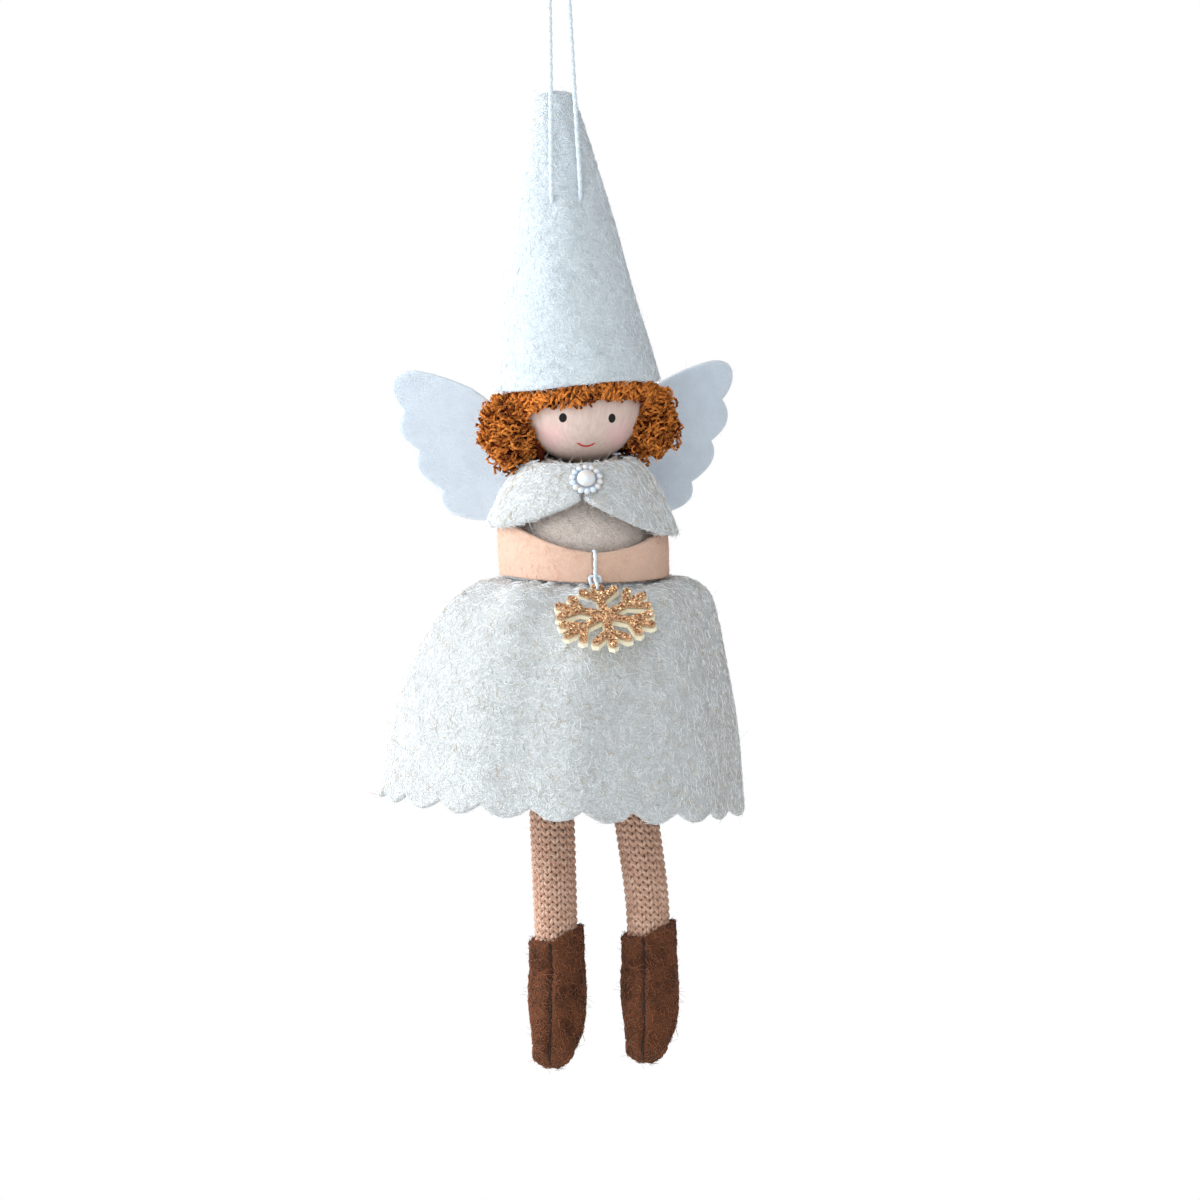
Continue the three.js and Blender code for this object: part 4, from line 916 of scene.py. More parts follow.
def curls(name, cores, outs, curl, seed, nodes=(), sides=4):
    """Curled yarn: a helix of radius curl about each core path, and plies wound about that helix in turn.
    The radius swells and shrinks along the strand, and the yarn's tone is high on the outer side: painted
    light on the outside of each curl and painted shade inside it."""
    pitch, width, plies = 1.45 * curl, 0.17, 3
    rng = np.random.default_rng(seed)
    cores, outs = in_head(cores), turned(outs, "Y", HEAD_LEAN)
    strands, steps = cores.shape[:2]
    along, out, side = path_frame(cores, outs)
    phase = rng.uniform(0, tau, (strands, 1))
    rate = rng.uniform(0.75, 1.3, (strands, 1))
    handed = rng.choice((-1.0, 1.0), (strands, 1))
    turn = handed * (tau * along / pitch * rate + 1.1 * np.sin(along * 0.9 + phase)) + phase
    swell = curl * (1 + 0.4 * np.sin(along * 1.3 + 2 * phase))
    radial = np.cos(turn)[..., None] * out + np.sin(turn)[..., None] * side
    middle = cores + swell[..., None] * radial
    along, out, side = path_frame(middle, radial)
    twist = (tau * along / 1.9 + phase)[None] + around(plies)[..., None]
    loose = width * (1 + 0.5 * np.sin(along * 1.7 + 3 * phase))[None, ..., None]
    paths = middle + loose * (np.cos(twist)[..., None] * out + np.sin(twist)[..., None] * side)
    bright = rng.uniform(-0.5, 0.5, (strands, 1))
    # Painted light and shade: the tone is high where a curl or ply faces outwards and low inside the curls;
    # bright adds random tone per strand.
    tone = 0.5 + 0.5 * np.cos(turn) + bright + 0.25 * np.cos(twist)
    ref = np.broadcast_to(radial, paths.shape)
    each = (plies * strands, steps)
    paths, ref = paths.reshape(*each, 3), ref.reshape(*each, 3)
    piece = tubes(name, paths, 0.9 * width, sides, ref, tone=tone.reshape(each))
    return dress(piece, "hair_yarn", "curl_yarn", nodes=nodes)


def frizz(name, source, count, seed):
    """Stray fibres of the yarn."""
    dress(fuzz(name, source, count, 1.1, (10, 80), 0.05, seed), "hair_fibre", "curl_yarn")


def ringlets(centre, radii, count, steps, seed):
    """Core paths that wander down an egg from pole to pole, with outward directions."""
    rng = np.random.default_rng(seed)
    t = np.linspace(0, 1, steps)
    start = tau * (np.arange(count)[:, None] + rng.uniform(-0.3, 0.3, (count, 1))) / count
    turn = start + 0.7 * np.sin(tau * t * rng.uniform(0.6, 1.4, (count, 1)) + start * 3)
    fall = radians(14) + radians(152) * t
    out = ring(np.sin(fall), turn + pi / 2, np.cos(fall))
    return centre + out * radii, out


def egg_roots(centre, radii, count, seed):
    """Points spread over an egg in a golden spiral, with outward directions."""
    rng = np.random.default_rng(seed)
    k = np.arange(count) + 0.5
    fall = np.arccos(1 - 2 * k / count)
    turn = k * pi * (3 - sqrt(5)) + rng.uniform(-0.2, 0.2, count)
    out = ring(np.sin(fall), turn + pi / 2, np.cos(fall))
    return centre + out * radii, unit(out / radii)


def locks(roots, outs, length, seed):
    """Core paths of short locks: r + L (s - 0.3) d + h s o - 0.7 s² up, from roots r along a random
    direction d that is square to the outward direction o, each lifted by its own h."""
    rng = np.random.default_rng(seed)
    along = random_square_to(outs, rng)[:, None]
    s = np.linspace(0, 1, 26)[None, :, None]
    reach = length * rng.uniform(0.6, 1.3, (len(roots), 1, 1))
    lift = rng.uniform(0.2, 2.2, (len(roots), 1, 1))
    cores = roots[:, None] + reach * (s - 0.3) * along + lift * s * outs[:, None] - 0.7 * s**2 * (0, 0, 1)
    return cores, np.broadcast_to(outs[:, None], cores.shape)


class ANGEL_OT_hair(bpy.types.Operator):
    """Curled yarn hair: side bunches, fringe and back, each of helical strands, the bunches and the back
    over a dark core that is painted shade between the curls. A bunch is an egg, the fringe hangs in
    locks from the brim, and the back follows the ball."""

    bl_idname = "angel.hair"
    bl_label = "Hair"

    def bunch(self, side, sign, out, wide, curl):
        centre, radii = np.array((sign * out, 0.0, -4.8)), np.array((wide, 5.4, 6.3))
        cores, outs = ringlets(centre, radii * 0.94, 15, 190, 21 + sign)
        curls(f"hair_{side}_curls", cores, outs, curl, 5 + sign, (f"hair_{side}_bunch",))
        cores, outs = locks(*egg_roots(centre, radii * 0.97, 110, 61 + sign), 4.2, 65 + sign)
        tufts = curls(f"hair_{side}_tufts", cores, outs, curl * 0.8, 7 + sign, sides=3)
        # A dark egg under the curls: painted shade between them.
        egg = globe(1, 40, 25) * radii * 0.9 + centre
        dress(surface(f"hair_{side}_core", in_head(egg), wrap_u=True), "hair_shade", "curl_yarn")
        frizz(f"hair_{side}_fibres", tufts, 1700, 31 + sign)

    def fringe(self, curl):
        rng = np.random.default_rng(73)
        count, sweep, brim = 58, radians(72), 3.4
        angle = np.linspace(-sweep, sweep, count)[:, None] + rng.uniform(-0.05, 0.05, (count, 1))
        t = np.linspace(0, 1, 40)
        low = -0.4 + 0.5 * np.sin(3.1 * angle) - 2.6 * smooth(np.abs(angle), 0.75, 1.25)
        low = low + rng.uniform(-0.7, 0.5, (count, 1))
        turn = angle + 0.09 * np.sin(5 * t + 9 * angle)
        cores = ring(13.25 + 1.1 * np.sin(pi * (0.15 + 0.7 * t)), turn, brim + (low - brim) * t)
        hanging = curls("hair_fringe_locks", cores, ring(1.0, turn, 0), curl * 0.8, 81, ("hair_fringe",))
        rows = np.arange(2)[:, None]
        turn = np.linspace(-sweep, sweep, 210) + 0 * rows
        height = 3.0 - 1.1 * rows + 0.3 * np.sin(11 * turn + 2 * rows)
        cores = ring(14.0 + 0.3 * np.sin(7 * turn + rows), turn, height)
        curls("hair_fringe_curls", cores, ring(1.0, turn, 0), curl * 0.75, 8)
        frizz("hair_fringe_fibres", hanging, 1400, 41)

    def back(self, curl):
        from_front = radians(88)
        start = np.linspace(from_front, tau - from_front, 30)[:, None]
        t = np.linspace(0, 1, 120)
        turn = start + 0.1 * np.sin(6 * t + start * 5)
        height = 3.0 - 13.2 * t + 0.6 * np.sin(start * 11)
        depth = np.sqrt(12.7**2 - np.clip(height, -9, 3) ** 2) + 0.7 + 1.5 * smooth(t, 0, 0.6)
        cores, outs = ring(depth, turn, height), ring(1.0, turn, 0)
        curls("hair_back_curls", cores, outs, curl, 9, ("hair_back",))
        roots, outs = (rows[:, 8::36].reshape(-1, 3) for rows in (cores, outs))
        tufts = curls("hair_back_tufts", *locks(roots, outs, 4.0, 95), curl * 0.8, 96, sides=3)
        # A dark shell under the back curls: painted shade between them and round the neck.
        turn = np.linspace(from_front - 0.35, tau - from_front + 0.35, 60)[:, None]
        lift = np.linspace(3, -11.2, 22)
        shell = np.sqrt(12.9**2 - np.clip(lift, -9.2, 3) ** 2)
        both_sides = np.concatenate((shell + 0.2, shell[::-1] + 1.2))
        points = in_head(ring(both_sides, turn, np.concatenate((lift, lift[::-1]))))
        core = surface("hair_back_core", points, wrap_v=True, caps=True)
        dress(core, "hair_shade", "curl_yarn")
        frizz("hair_back_fibres", tufts, 1700, 51)

    def execute(self, context):
        curl = context.scene.angel_sizes.curl / MM
        self.bunch("right", -1, 14.3, 5.0, curl)
        self.bunch("left", 1, 13.1, 4.6, curl)
        self.fringe(curl)
        self.back(curl)
        return {"FINISHED"}


# Body


class ANGEL_OT_bodice(bpy.types.Operator):
    """Stuffed felt bodice, radius waist + (neck - waist) h^2.2 by share of height h with a full chest and
    a neckline that dips in front, and the disc under it."""

    bl_idname = "angel.bodice"
    bl_label = "Bodice"

    def execute(self, context):
        waist, neck, wall = 12.6, 7.5, 1.2
        up = np.linspace(1, 0, 60)
        chest = 2.6 * smooth(up, 0.15, 0.45) * smooth(up, 0.9, 0.5)
        profile = np.stack((waist + (neck - waist) * up**2.2 + chest, BODICE_HEIGHT * up), -1)
        radius, height = felt_section(profile, wall, thinned(60, 24)).T
        angle = around(120)
        swell = 0.12 * np.sin(3 * angle + height / 5) + 0.08 * np.sin(7 * angle)
        from_front = np.minimum(angle, tau - angle)
        dip = 1.6 * smooth(from_front, pi / 2, 0) * np.clip(height / BODICE_HEIGHT, 0, 1) ** 2
        points = ring(radius + swell * smooth(height, 3, 6), angle, height - dip)
        piece = surface("bodice_felt", points + WAIST, wrap_u=True, wrap_v=True)
        dress(piece, "beige_felt", "felt_beige", nodes=("bodice", "bodice_stuffing"))
        dress(matted("bodice_mat", piece, 1100, 2.2, 0.07, 61), "beige_fibre", "felt_beige")

        half, middle = 0.75, -1.05
        turn = np.linspace(-pi / 2, pi / 2, 9)
        edge = np.stack((waist - half + half * np.cos(turn), middle + half * np.sin(turn)), -1)
        radius, height = np.concatenate(([[0, middle - half]], edge, [[0, middle + half]])).T
        disc = ring(radius, angle, height + 0.05 * np.sin(5 * angle))
        piece = surface("base_felt", disc + WAIST, wrap_u=True)
        dress(piece, "white_felt", "felt_white", nodes=("base_disc",))
        return {"FINISHED"}


def cape_profile(t):
    """Radius by the square root of the share t of the cape's height, so the shoulders are round."""
    return np.stack((9.1 + 10.0 * np.sqrt(t), BODICE_HEIGHT - CAPE_FALL * t), -1)


class ANGEL_OT_cape(bpy.types.Operator):
    """Felt cape: the wall under cape_profile, cut by a front edge that curves from the brooch to the hem
    as 1 - (1 - apex)(1 - angle / parting)^1.5, with a collar that dips below the chin."""

    bl_idname = "angel.cape"
    bl_label = "Cape"

    def execute(self, context):
        slit, apex, parting, turned_by = 0.022, 0.53, radians(58), radians(-6)
        angle = np.linspace(slit, tau - slit, 200)[:, None]
        from_front = np.minimum(angle, tau - angle)
        reach = 1 - (1 - apex) * np.maximum(0, 1 - from_front / parting) ** 1.5
        start = 0.075 - 0.055 * smooth(from_front, 0, pi / 2)
        profiles = cape_profile(start + (reach - start) * np.linspace(0, 1, 34) ** 1.6)
        section = felt_section(profiles, context.scene.angel_sizes.felt / MM, np.arange(33, 0, -2))
        radius, height = np.moveaxis(section, -1, 0)
        ripple = 0.3 * np.sin(6 * angle + 0.6) + 0.15 * np.sin(11 * angle)
        wave = smooth(BODICE_HEIGHT - height, 5, 14) * ripple + 0.06 * np.sin(8 * angle + height)
        wave = wave * np.clip(from_front / 0.3, 0.3, 1)
        points = sagged(ring(radius + wave, angle + turned_by, height)) + WAIST
        piece = surface("cape_felt", points, wrap_v=True, caps=True)
        dress(piece, "cream_felt", "felt_white", nodes=("cape",))
        dress(matted("cape_mat", piece, 2700, 1.9, 0.064, 71), "cream_fibre", "felt_white")
        dress(fuzz("cape_fibres", piece, 450, 1.5, (4, 40), 0.04, 72), "cream_fibre", "felt_white")
        return {"FINISHED"}


class ANGEL_OT_brooch(bpy.types.Operator):
    """Brooch: a half pearl in a ring of small pearls on a dished plate, the pearls by longitude and
    latitude and the plate a profile carried round. It sits square on the cape."""

    bl_idname = "angel.brooch"
    bl_label = "Brooch"

    def execute(self, context):
        share, sunk, aside = 0.34, 0.3, radians(-3)
        seat = cape_profile(share)
        slope = unit(cape_profile(share + 0.01) - seat)
        out = np.array((-slope[1], slope[0]))
        tilt = atan2(*out)
        place = sagged(ring(seat[0] + sunk * out[0], aside, seat[1] + sunk * out[1]))

        def seated(points):
            return turned(turned(points, "X", tilt), "Z", aside) + place + WAIST

        dome = globe(1, 48, 17, 0.5) * (1.85, 1.85, 1.8) + (0, 0, 1)
        foot = np.broadcast_to((0, 0, 1), (48, 1, 3))
        piece = surface("brooch_half_pearl", seated(np.concatenate((dome, foot), 1)), wrap_u=True)
        dress(piece, "pearl", "pearl", nodes=("brooch_pearl",))

        radius, height = np.array(((0, 0), (2.5, 0), (2.8, 0.25), (2.75, 0.6), (2.4, 0.8), (0, 0.85))).T
        plate = surface("brooch_plate", seated(ring(radius, around(48), height)), wrap_u=True)
        dress(plate, "silver", "pearl")
        beads, columns, rows = 14, 16, 11
        spread = globe(0.63, columns, rows) + ring(2.7, around(beads), 0.8)[:, None]
        faces = grid_faces(columns, rows, True, False) + (np.arange(beads) * columns * rows)[:, None, None]
        piece = mesh_object("brooch_pearl_ring", seated(spread), [faces.reshape(-1, 4)], tidy=True)
        dress(piece, "pearl", "pearl", nodes=("brooch_setting",))
        return {"FINISHED"}


class ANGEL_OT_arms(bpy.types.Operator):
    """Arms: one felt strip round the body. Its upper edge falls smoothly from the shoulders to the hands,
    and both edges are half circles."""

    bl_idname = "angel.arms"
    bl_label = "Arms"

    def execute(self, context):
        wall, slit, rise, hand, shoulder = 1.2, 0.012, 3, 5.2, 11
        angle = np.linspace(slit, tau - slit, 200)[:, None]
        sleeve = smooth(np.minimum(angle, tau - angle), 0, pi / 2)
        top, low = rise + hand + (shoulder - hand) * sleeve, rise + 0.9 * sleeve
        share, edge = np.linspace(0, 1, 16), half_turn()
        puff = 0.18 * np.sin(pi * share) * (1 + 0.5 * np.sin(4 * angle))
        outer = top + (low - top) * share
        inner = outer[:, ::-2]
        middle = ARM_RADIUS - wall / 2
        bulge = wall / 2 * np.cos(edge) + 0 * angle
        inside = np.full_like(inner, ARM_RADIUS - wall)
        radius = np.concatenate((ARM_RADIUS + puff, middle + bulge, inside, middle - bulge), 1)
        lip = 0.35 * wall * np.sin(edge)
        height = np.concatenate((outer, low - lip, inner, top + lip), 1)
        weight = 1 - 0.45 * np.clip((top - height) / (top - low), 0, 1)
        points = sagged(ring(radius, angle, height), weight) + WAIST
        piece = surface("arms_felt", points, wrap_v=True, caps=True)
        dress(piece, "skin_felt", "felt_skin", nodes=("arms",))
        dress(matted("arm_mat", piece, 1200, 1.1, 0.045, 83), "skin_fibre", "felt_skin")
        dress(fuzz("arm_fibres", piece, 1600, 0.9, (4, 40), 0.034, 81), "skin_fibre", "felt_skin")
        return {"FINISHED"}


# Skirt and wings


class ANGEL_OT_skirt(bpy.types.Operator):
    """Gathered felt bell. Its radius is a spline from waist over shelf to hem, plus folds d(t) cos(n
    angle) and puckers at the waist. The shelf is bunched up in front and behind by cos² angle and stands
    higher at the sides by sin² angle, and the hem is cut in scallops |sin(n angle / 2)|."""

    bl_idname = "angel.skirt"
    bl_label = "Skirt"

    def execute(self, context):
        sizes = context.scene.angel_sizes
        wall, hem, length = sizes.skirt_felt / MM, sizes.hem_radius / MM, sizes.skirt_length / MM
        outline = [(14.5, 0), (15.4, -2.45), (22.5, -4.9), (27.4, -10.5), (33.1, -26.2), (hem, -length)]
        edge, inside = 9, 44
        t = np.concatenate((np.linspace(0, 0.62, 46), np.linspace(0.62, 1, 40)[1:]))
        radius, height = felt_section(spline(outline, t), wall, thinned(len(t), inside), edge).T
        share = np.concatenate((t, np.ones(edge), np.linspace(1, 0, inside), np.zeros(edge)))
        angle = around(sizes.scallops * 18)
        drape = sizes.folds * angle + 0.35 * np.sin(2 * angle)
        pleats = 31 * angle + 1.4 * np.sin(3 * angle)
        lobe = np.abs(np.sin(sizes.scallops * angle / 2)) ** 0.9
        shelf = smooth(share, 0.12, 0.36) * smooth(share, 0.78, 0.42)
        gather = smooth(share, 0.02, 0.16) * smooth(share, 0.42, 0.2)
        slack = smooth(share, 0.3, 0.9)
        depth = 0.45 * smooth(share, 0.05, 0.35) * (1 - 0.25 * share)
        fold = depth * np.cos(drape) + 0.9 * shelf * (np.cos(drape) - 0.4) + 0.3 * gather * np.cos(pleats)
        fold = fold + 0.35 * slack * np.sin(4 * angle + 1.1) + 0.22 * slack * np.sin(13 * angle + 3 * share)
        fold = fold + 0.25 * smooth(share, 0.86, 1) * (lobe - 0.6)
        fuller_left = 1 + 0.45 * np.sin(angle)
        puff = 3 * np.sin(angle) ** 2 * fuller_left * smooth(share, 0.1, 0.35) * smooth(share, 0.95, 0.55)
        bunch = smooth(share, 0.06, 0.2) * smooth(share, 0.62, 0.34) * (0.35 + 0.65 * np.cos(angle) ** 2)
        bunch = 1.85 * bunch + 0.35 * gather * np.sin(pleats)
        drop = 2.2 * lobe * smooth(share, 0.8, 1)
        points = ring(radius + fold, angle, height + puff + bunch - drop)
        points[..., 0] -= 2.3 * smooth(share, 0.4, 0.8)
        piece = surface("skirt_felt_bell", in_skirt(points), wrap_u=True, wrap_v=True)
        dress(piece, "cream_felt", "felt_white", nodes=("skirt",))
        for layer, reach in enumerate((2.2, 1.3)):
            fibres = matted(f"skirt_mat_{layer + 1}", piece, 5600, reach, 0.066, 91 + layer)
            dress(fibres, "cream_fibre", "felt_white")
        dress(fuzz("skirt_fibres", piece, 1500, 2.0, (3, 32), 0.04, 94), "cream_fibre", "felt_white")
        return {"FINISHED"}


# One wing up its middle line, out over the top, round four feathers and back, as distance outwards and
# height: a start, and for each curve its control point, its end and a number of points.
WING_START = (0, 14.5)
WING_CURVES = [
    ((0, 21), (0, 27.5), 8),
    ((2, 27.5), (4.5, 27.5), 6),
    ((13, 36.5), (20.7, 41.2), 18),
    ((27, 44), (32.5, 44.6), 14),
    ((37.6, 44.6), (37.4, 40.6), 14),
    ((37, 38), (34.8, 36.3), 10),
    ((38.4, 31.5), (32, 27.9), 18),
    ((34.6, 23.4), (27.4, 19.6), 18),
    ((29, 14.6), (21.5, 13.6), 16),
    ((12, 13), (4.5, 14.5), 16),
    ((2, 14.5), (0, 14.5), 6),
]


def wing_outline():
    """Points along the curves a (1-s)² + 2 b s (1-s) + c s², each from the end of the one before."""
    points, start = [], np.array(WING_START)
    for control, end, count in WING_CURVES:
        s = np.linspace(0, 1, count, endpoint=False)[:, None]
        control, end = np.array(control), np.array(end)
        points.append(start * (1 - s) ** 2 + 2 * control * s * (1 - s) + end * s**2)
        start = end
    return np.concatenate(points)


class ANGEL_OT_wings(bpy.types.Operator):
    """Felt wings: each a disc stretched from its middle to the outline, M + s (outline - M), front and
    back a felt's thickness apart with a half-round edge, swept back from the tab and softly waved. The
    two halves meet at the middle line in one sheet."""

    bl_idname = "angel.wings"
    bl_label = "Wings"

    def execute(self, context):
        wall, tab, sweep, tilt, behind = 1.0, 4.5, radians(20), radians(12), 22.106
        middle, rows = np.array((18.0, 24.5)), 16
        turn, flat = half_turn(5), np.zeros(rows)
        spread = np.concatenate((np.linspace(0, 1, rows), np.ones(5), np.linspace(1, 0, rows)))
        depth = np.concatenate((flat, wall / 2 - wall / 2 * np.cos(turn), flat + wall))
        round_edge = np.concatenate((flat, 0.35 * wall * np.sin(turn), flat)) - 0.35 * wall
        reach = (wing_outline() - middle)[:, None]
        x, z = np.moveaxis(middle + (reach + unit(reach) * round_edge[:, None]) * spread[:, None], -1, 0)
        x = np.where(x < 0.45, 0, x)
        quads = grid_faces(*x.shape, True, False)
        quads = quads[(x.ravel()[quads] > 0).any(1)]
        bend = smooth(x, 2.0, 6.5)[..., None]
        pair = []
        for sign in (-1, 1):
            wave = 0.5 * np.sin(x / 8 + 0.4 * sign) * smooth(x, 8, 20)
            wave = wave + 0.35 * np.sin(z / 6 + sign) * smooth(x, 10, 24)
            points = np.stack((sign * (x - tab), depth + wave, z), -1)
            swept = turned(points, "Z", sign * sweep) * bend + points * (1 - bend)
            pair.append(swept + (sign * tab, 0, 0))
        points = turned(np.stack(pair), "X", tilt) + WAIST + (0, behind, 0)
        piece = mesh_object("wings_felt", points, [quads, quads + x.size], tidy=True)
        dress(piece, "wing_felt", "felt_white", nodes=("wings",))
        dress(fuzz("wing_fibres", piece, 1100, 1.0, (3, 30), 0.03, 101), "wing_fibre", "felt_white")
        return {"FINISHED"}


# Legs, boots and charm


def leg_radius(depth, radius):
    """A leg's radius at a depth below its drawn-in top: a quarter circle, then a slight swell."""
    dome = np.sqrt(np.maximum(radius**2 - np.maximum(radius - depth, 0) ** 2, 0))
    return dome + 0.25 * np.sin(pi * np.clip((depth - radius) / (LEG_LENGTH - radius), 0, 1))


def on_leg(side, radius, angle, depth):
    """Points round a leg at depths below its top, bowed sideways on the way down."""
    points = ring(radius, angle, -depth) + HIPS[side] + WAIST + (0, 0, -1.6)
    points[..., 0] += LEG_BOW[side] * smooth(depth / LEG_LENGTH, 0.45, 0.9)
    return points


class ANGEL_OT_legs(bpy.types.Operator):
    """Knitted legs: one yarn that winds down each leg in stitches. In a stitch of phase s the yarn goes
    sideways by s + a sin 2s, up and down by cos s, and in and out by -cos 2s, so the arms of the stitches
    stand out as rows of V. A dark tube lies behind it: the filling, painted dark as the shade between
    the stitches."""

    bl_idname = "angel.legs"
    bl_label = "Legs"

    def execute(self, context):
        sizes = context.scene.angel_sizes
        radius, wales = sizes.leg_radius / MM, sizes.wales
        pitch, per_stitch, yarn_radius, knitted = 1.5, 14, 0.45, 66.5
        courses = int(knitted / pitch) - 2
        s = tau * np.arange(courses * wales * per_stitch) / per_stitch
        angle = (s / tau + 0.28 * np.sin(2 * s)) * tau / wales
        depth = 2.6 + s / tau / wales * pitch + 1.02 * pitch * (0.5 - 0.5 * np.cos(s))
        out = leg_radius(depth, radius) - yarn_radius - 0.15 - 0.3 * np.cos(2 * s)
        down = np.concatenate(([0.62, 0.7, 0.9, 1.3, 2.0, 3.0], np.linspace(4.2, 67.5, 30), [67.5]))
        inner = np.maximum(leg_radius(down, radius) - 0.95, 0)
        inner[0] = inner[-1] = 0
        for side in HIPS:
            body, path = f"{side}_leg", on_leg(side, out, angle, depth)
            piece = tubes(f"{side}_leg_stitches", path[None], yarn_radius, 5, ring(1.0, angle, 0))
            dress(piece, "knit_yarn", "knit", body, (f"{side}_leg_knit", f"{side}_leg_filling"))
            # The core is the leg's filling, painted dark as the shade between the stitches.
            core = surface(f"{side}_leg_core", on_leg(side, inner, around(40), down), wrap_u=True)
            dress(core, "knit_shade", "knit", body)
            fibres = fuzz(f"{side}_leg_fibres", piece, 900, 1.1, (15, 60), 0.028, 111)
            dress(fibres, "knit_fibre", "knit", body)
        return {"FINISHED"}


class ANGEL_OT_boots(bpy.types.Operator):
    """Felt boots: ellipses along a spine that bends from the shaft into a pointed foot, with a rounded
    toe, a slanted cuff that turns inside, and a seam pressed in at the front, the sole and the back, with
    a dark thread along it that also stands for the seam's painted shade. Both feet turn to the angel's
    right, and their toes are moved back a little to the left."""

    bl_idname = "angel.boots"
    bl_label = "Boots"

    def shape(self):
        """A boot below its hip."""
        cuff, cuff_radius, wall, nose = -65.1, 5.5, 1.0, 2.7
        t = np.linspace(0, 1, 46)
        spine = spline([(0, cuff), (0, -70.2), (0, -73.6), (-5.36, -80.46), (-10.71, -87.31)], t)
        ahead = unit(np.gradient(spine, axis=0))
        wide, deep = spline([(11, 11), (10.8, 11), (11.3, 10.5), (11.2, 9.45), (7.9, 6.5)], t).T / 2
        toe = np.linspace(0, pi / 2, 12)[1:]
        rim = np.linspace(pi, 0, 8)[:-1]
        rise = np.concatenate((np.linspace(-5.5, -0.5, 8), 0.45 * wall * np.sin(rim)))
        inside = cuff_radius - np.concatenate((np.full(8, wall), wall / 2 - wall / 2 * np.cos(rim)))
        turn_in = np.stack((0 * rise, cuff + rise), -1)
        tip = spine[-1] + ahead[-1] * nose * np.sin(toe)[:, None]
        forwards, upwards = np.concatenate((turn_in, spine, tip)).T
        widths = np.concatenate((inside, wide, wide[-1] * np.cos(toe)))
        depths = np.concatenate((inside, deep, deep[-1] * np.cos(toe)))
        shaft, point = np.tile((0.0, -1.0), (len(rise), 1)), np.tile(ahead[-1], (len(toe), 1))
        along = np.concatenate((shaft, ahead, point))
        turn, rows = around(96), np.arange(len(widths))
        x, across = widths * np.sin(turn), depths * np.cos(turn)
        on_foot = smooth(rows, 14, 20)
        seam = 0.62 * bell(x, 0.55) * on_foot * np.clip(depths / 3, 0, 1)
        puff = 0.22 * np.sin(3 * turn + rows / 6) + 0.15 * np.sin(5 * turn - rows / 4)
        puff = puff * on_foot * np.clip(widths / 3, 0, 1)
        across = across - np.sign(np.cos(turn)) * seam + puff * np.cos(turn)
        x = x + puff * np.sin(turn)
        notch = 0.8 * bell(x, 1.2) * (np.cos(turn) > 0) * smooth(rows, 20, 12) * smooth(rows, 2, 8)
        points = np.stack((x, forwards + along[:, 1] * across, upwards - along[:, 0] * across - notch), -1)
        points = turned(points, "Z", radians(-20))
        points[..., 2] += points[..., 0] * tan(radians(15)) * smooth(points[..., 2], -71, cuff)
        points[..., 0] += 0.9 * smooth(points[..., 2], -70, -84)
        return points

    def execute(self, context):
        shape = self.shape()
        thread = 0.25 + 0.08 * np.sin(np.linspace(0, 23, 90))
        for side, hip in HIPS.items():
            points = shape + hip + WAIST + (LEG_BOW[side], 0, 0)
            boot, look = f"{side}_boot", ("felt_brown", f"{side}_leg")
            piece = surface(f"{boot}_felt", points, wrap_u=True)
            nodes = (f"{boot}_outer_panel", f"{boot}_inner_panel", f"{boot}_stuffing")
            dress(piece, "boot_felt", *look, nodes)
            # The dark seam thread also paints the seam's shade.
            front = evenly(points[0, 15:], 90)
            dress(tubes(f"{boot}_seam", front[None], thread, 6, (1, 0, 0), ply=1.2), "boot_thread", *look)
            dress(matted(f"{boot}_mat", piece, 1600, 1.7, 0.08, 121, None), "boot_fibre", *look)
            dress(fuzz(f"{boot}_fibres", piece, 400, 1.2, (5, 45), 0.034, 122), "boot_fibre", *look)
        return {"FINISHED"}


class ANGEL_OT_snowflake(bpy.types.Operator):
    """Snowflake: the cut plates with their own finishes, and glitter grains, small tilted squares strewn
    over the top faces by area."""

    bl_idname = "angel.snowflake"
    bl_label = "Snowflake"

    def execute(self, context):
        coat(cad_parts["snowflake_back"], "cream_card")
        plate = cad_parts["snowflake_glitter_face"]
        coat(plate, "glitter_ground")
        plate.data.calc_loop_triangles()
        corners = read(plate.data.loop_triangles, "vertices", kind=np.int32)
        triangles = read(plate.data.vertices, "co")[corners] / MM
        normal = np.cross(triangles[:, 1] - triangles[:, 0], triangles[:, 2] - triangles[:, 0])
        area = np.linalg.norm(normal, axis=1)
        _, _, out = charm_frame()
        on_top = (normal @ out) / np.maximum(area, 1e-9) > 0.9
        triangles, area = triangles[on_top], area[on_top]
        rng = np.random.default_rng(131)
        count = 2600
        a, b, c = np.moveaxis(triangles[rng.choice(len(area), count, p=area / area.sum())], 1, 0)
        s, t = np.sqrt(rng.random(count))[:, None], rng.random(count)[:, None]
        middle = a * (1 - s) + b * s * (1 - t) + c * s * t
        face = unit(out + rng.normal(scale=0.3, size=(count, 3)))
        first = random_square_to(face, rng)
        second = np.cross(face, first)
        half = rng.uniform(0.1, 0.19, count)[:, None]
        middle = middle + out * rng.uniform(0.05, 0.16, count)[:, None]
        square = [middle + half * (i * first + j * second) for i, j in ((-1, -1), (1, -1), (1, 1), (-1, 1))]
        piece = mesh_object("snowflake_grains", np.stack(square, 1), [np.arange(4 * count).reshape(-1, 4)])
        set_numbers(piece, "grain", "FACE", rng.random(count))
        piece.data.polygons.foreach_set("use_smooth", np.zeros(count, dtype=bool))
        dress(piece, "glitter_grain", "gold_glitter", "snowflake")
        return {"FINISHED"}


# Stage


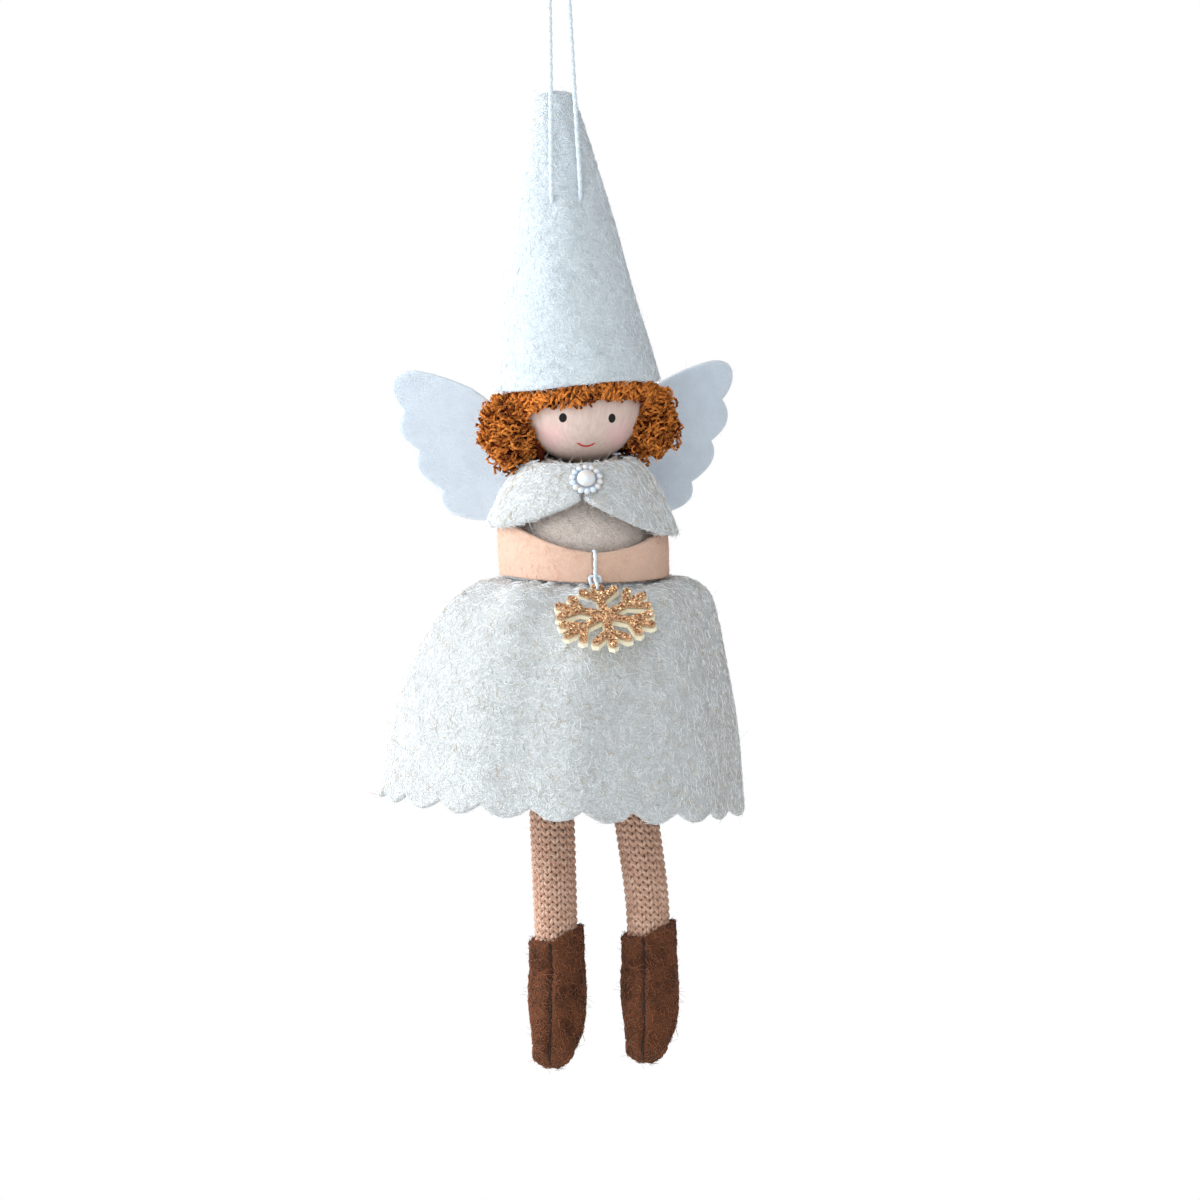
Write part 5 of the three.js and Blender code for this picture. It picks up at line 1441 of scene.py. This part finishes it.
def white_to_camera(tree, shader, output, share):
    """Shows plain white to the camera and to mirrors by the given share, and the real shader to the
    light."""
    camera, glossy, through = (
        add_node(tree, "LightPath", f"Is {kind} Ray") for kind in ("Camera", "Glossy", "Transmission")
    )
    seen = (camera + glossy + through).clamped() * share
    glow = add_node(tree, "Emission", 0, Strength=1.0)
    blend = add_node(tree, "MixShader", 0, values=(seen, Socket(tree, shader.outputs[0]), glow))
    connect(tree, blend, tree.nodes[output].inputs["Surface"])


class ANGEL_OT_stage(bpy.types.Operator):
    """Camera, soft light, white world and a pale floor, a flat grid below the hanging angel."""

    bl_idname = "angel.stage"
    bl_label = "Stage"

    def execute(self, context):
        scene = context.scene
        scene.view_settings.view_transform = "Standard"
        azimuth, elevation, roll = radians(-7), radians(3), radians(-2)
        distance, view_width, sensor_width = 0.75, 0.24, 36
        right = Vector((cos(azimuth), sin(azimuth), 0))
        target = Vector(WAIST * MM) + right * 0.00298 + Vector((0, 0, -0.00161))
        away = Vector(ring(cos(elevation), azimuth, sin(elevation)))
        camera = bpy.data.objects.new("Camera", bpy.data.cameras.new("Camera"))
        camera.data.sensor_width = sensor_width
        camera.data.lens = sensor_width * distance / view_width
        camera.data.clip_start = 0.01
        place = Matrix.Translation(target + away * distance)
        facing = away.to_track_quat("Z", "Y").to_matrix().to_4x4()
        camera.matrix_world = place @ facing @ Matrix.Rotation(roll, 4, "Z")
        scene.collection.objects.link(camera)
        scene.camera = camera

        for name, offset, width, power, tone in (
            ("key_light", (-1.0, 0.1, 0.3), 0.8, 13.8, (0.93, 0.97, 1.0)),
            ("fill_light", (-0.25, -0.95, 0.25), 0.9, 5.1, (0.84, 0.94, 1.0)),
        ):
            lamp = bpy.data.lights.new(name, "AREA")
            lamp.size, lamp.energy, lamp.color = width, power, tone
            made = bpy.data.objects.new(name, lamp)
            made.location = target + Vector(offset)
            made.rotation_euler = Vector(offset).to_track_quat("Z", "Y").to_euler()
            scene.collection.objects.link(made)

        world = bpy.data.worlds.new("white_room")
        world.use_nodes = True
        scene.world = world
        background = world.node_tree.nodes["Background"]
        background.inputs["Color"].default_value = (1.0, 0.995, 0.975, 1)
        background.inputs["Strength"].default_value = 0.53
        white_to_camera(world.node_tree, background, "World Output", 1.0)

        floor_z = CAD_BOX[0][2] / MM - 70
        edge = np.linspace(-2500, 2500, 9)
        x, y = np.meshgrid(edge, edge, indexing="ij")
        floor = surface("floor", np.stack((x, y, np.full_like(x, floor_z)), -1))
        paper = Finish("white_floor", 0.9, Base_Color=(0.9, 0.9, 0.9))
        below = (WAIST[0] * MM, WAIST[1] * MM, floor_z * MM)
        from_below = paper.node("VectorMath", "Value", {"operation": "DISTANCE"}, (paper.place, below))
        share = 0.82 + 0.18 * from_below.between(0.03, 0.2)
        white_to_camera(paper.tree, paper.shader, "Material Output", share)
        floor.data.materials.append(paper.material)
        return {"FINISHED"}


class ANGEL_PT_panel(bpy.types.Panel):
    """The angel's settings and pieces in the sidebar."""

    bl_label = "Felt angel"
    bl_space_type = "VIEW_3D"
    bl_region_type = "UI"
    bl_category = "Angel"

    def draw(self, context):
        for group in (context.scene.angel_sizes, context.scene.angel_colours):
            box = self.layout.box()
            for key in group.__annotations__:
                box.prop(group, key)
        for operator in OPERATORS:
            self.layout.operator(operator.bl_idname)


OPERATORS = (
    ANGEL_OT_stage,
    ANGEL_OT_cord,
    ANGEL_OT_head,
    ANGEL_OT_hat,
    ANGEL_OT_hair,
    ANGEL_OT_bodice,
    ANGEL_OT_arms,
    ANGEL_OT_cape,
    ANGEL_OT_brooch,
    ANGEL_OT_threads,
    ANGEL_OT_skirt,
    ANGEL_OT_wings,
    ANGEL_OT_legs,
    ANGEL_OT_boots,
    ANGEL_OT_snowflake,
)
CLASSES = (AngelSizes, AngelColours, *OPERATORS, ANGEL_PT_panel)


def register():
    for cls in CLASSES:
        bpy.utils.register_class(cls)
    bpy.types.Scene.angel_sizes = PointerProperty(type=AngelSizes)
    bpy.types.Scene.angel_colours = PointerProperty(type=AngelColours)


def unregister():
    del bpy.types.Scene.angel_colours
    del bpy.types.Scene.angel_sizes
    for cls in reversed(CLASSES):
        bpy.utils.unregister_class(cls)


def main():
    """Registers the add-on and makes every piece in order."""
    register()
    for operator in OPERATORS:
        getattr(bpy.ops.angel, operator.bl_idname.split(".")[1])()


if __name__ == "__main__":
    main()
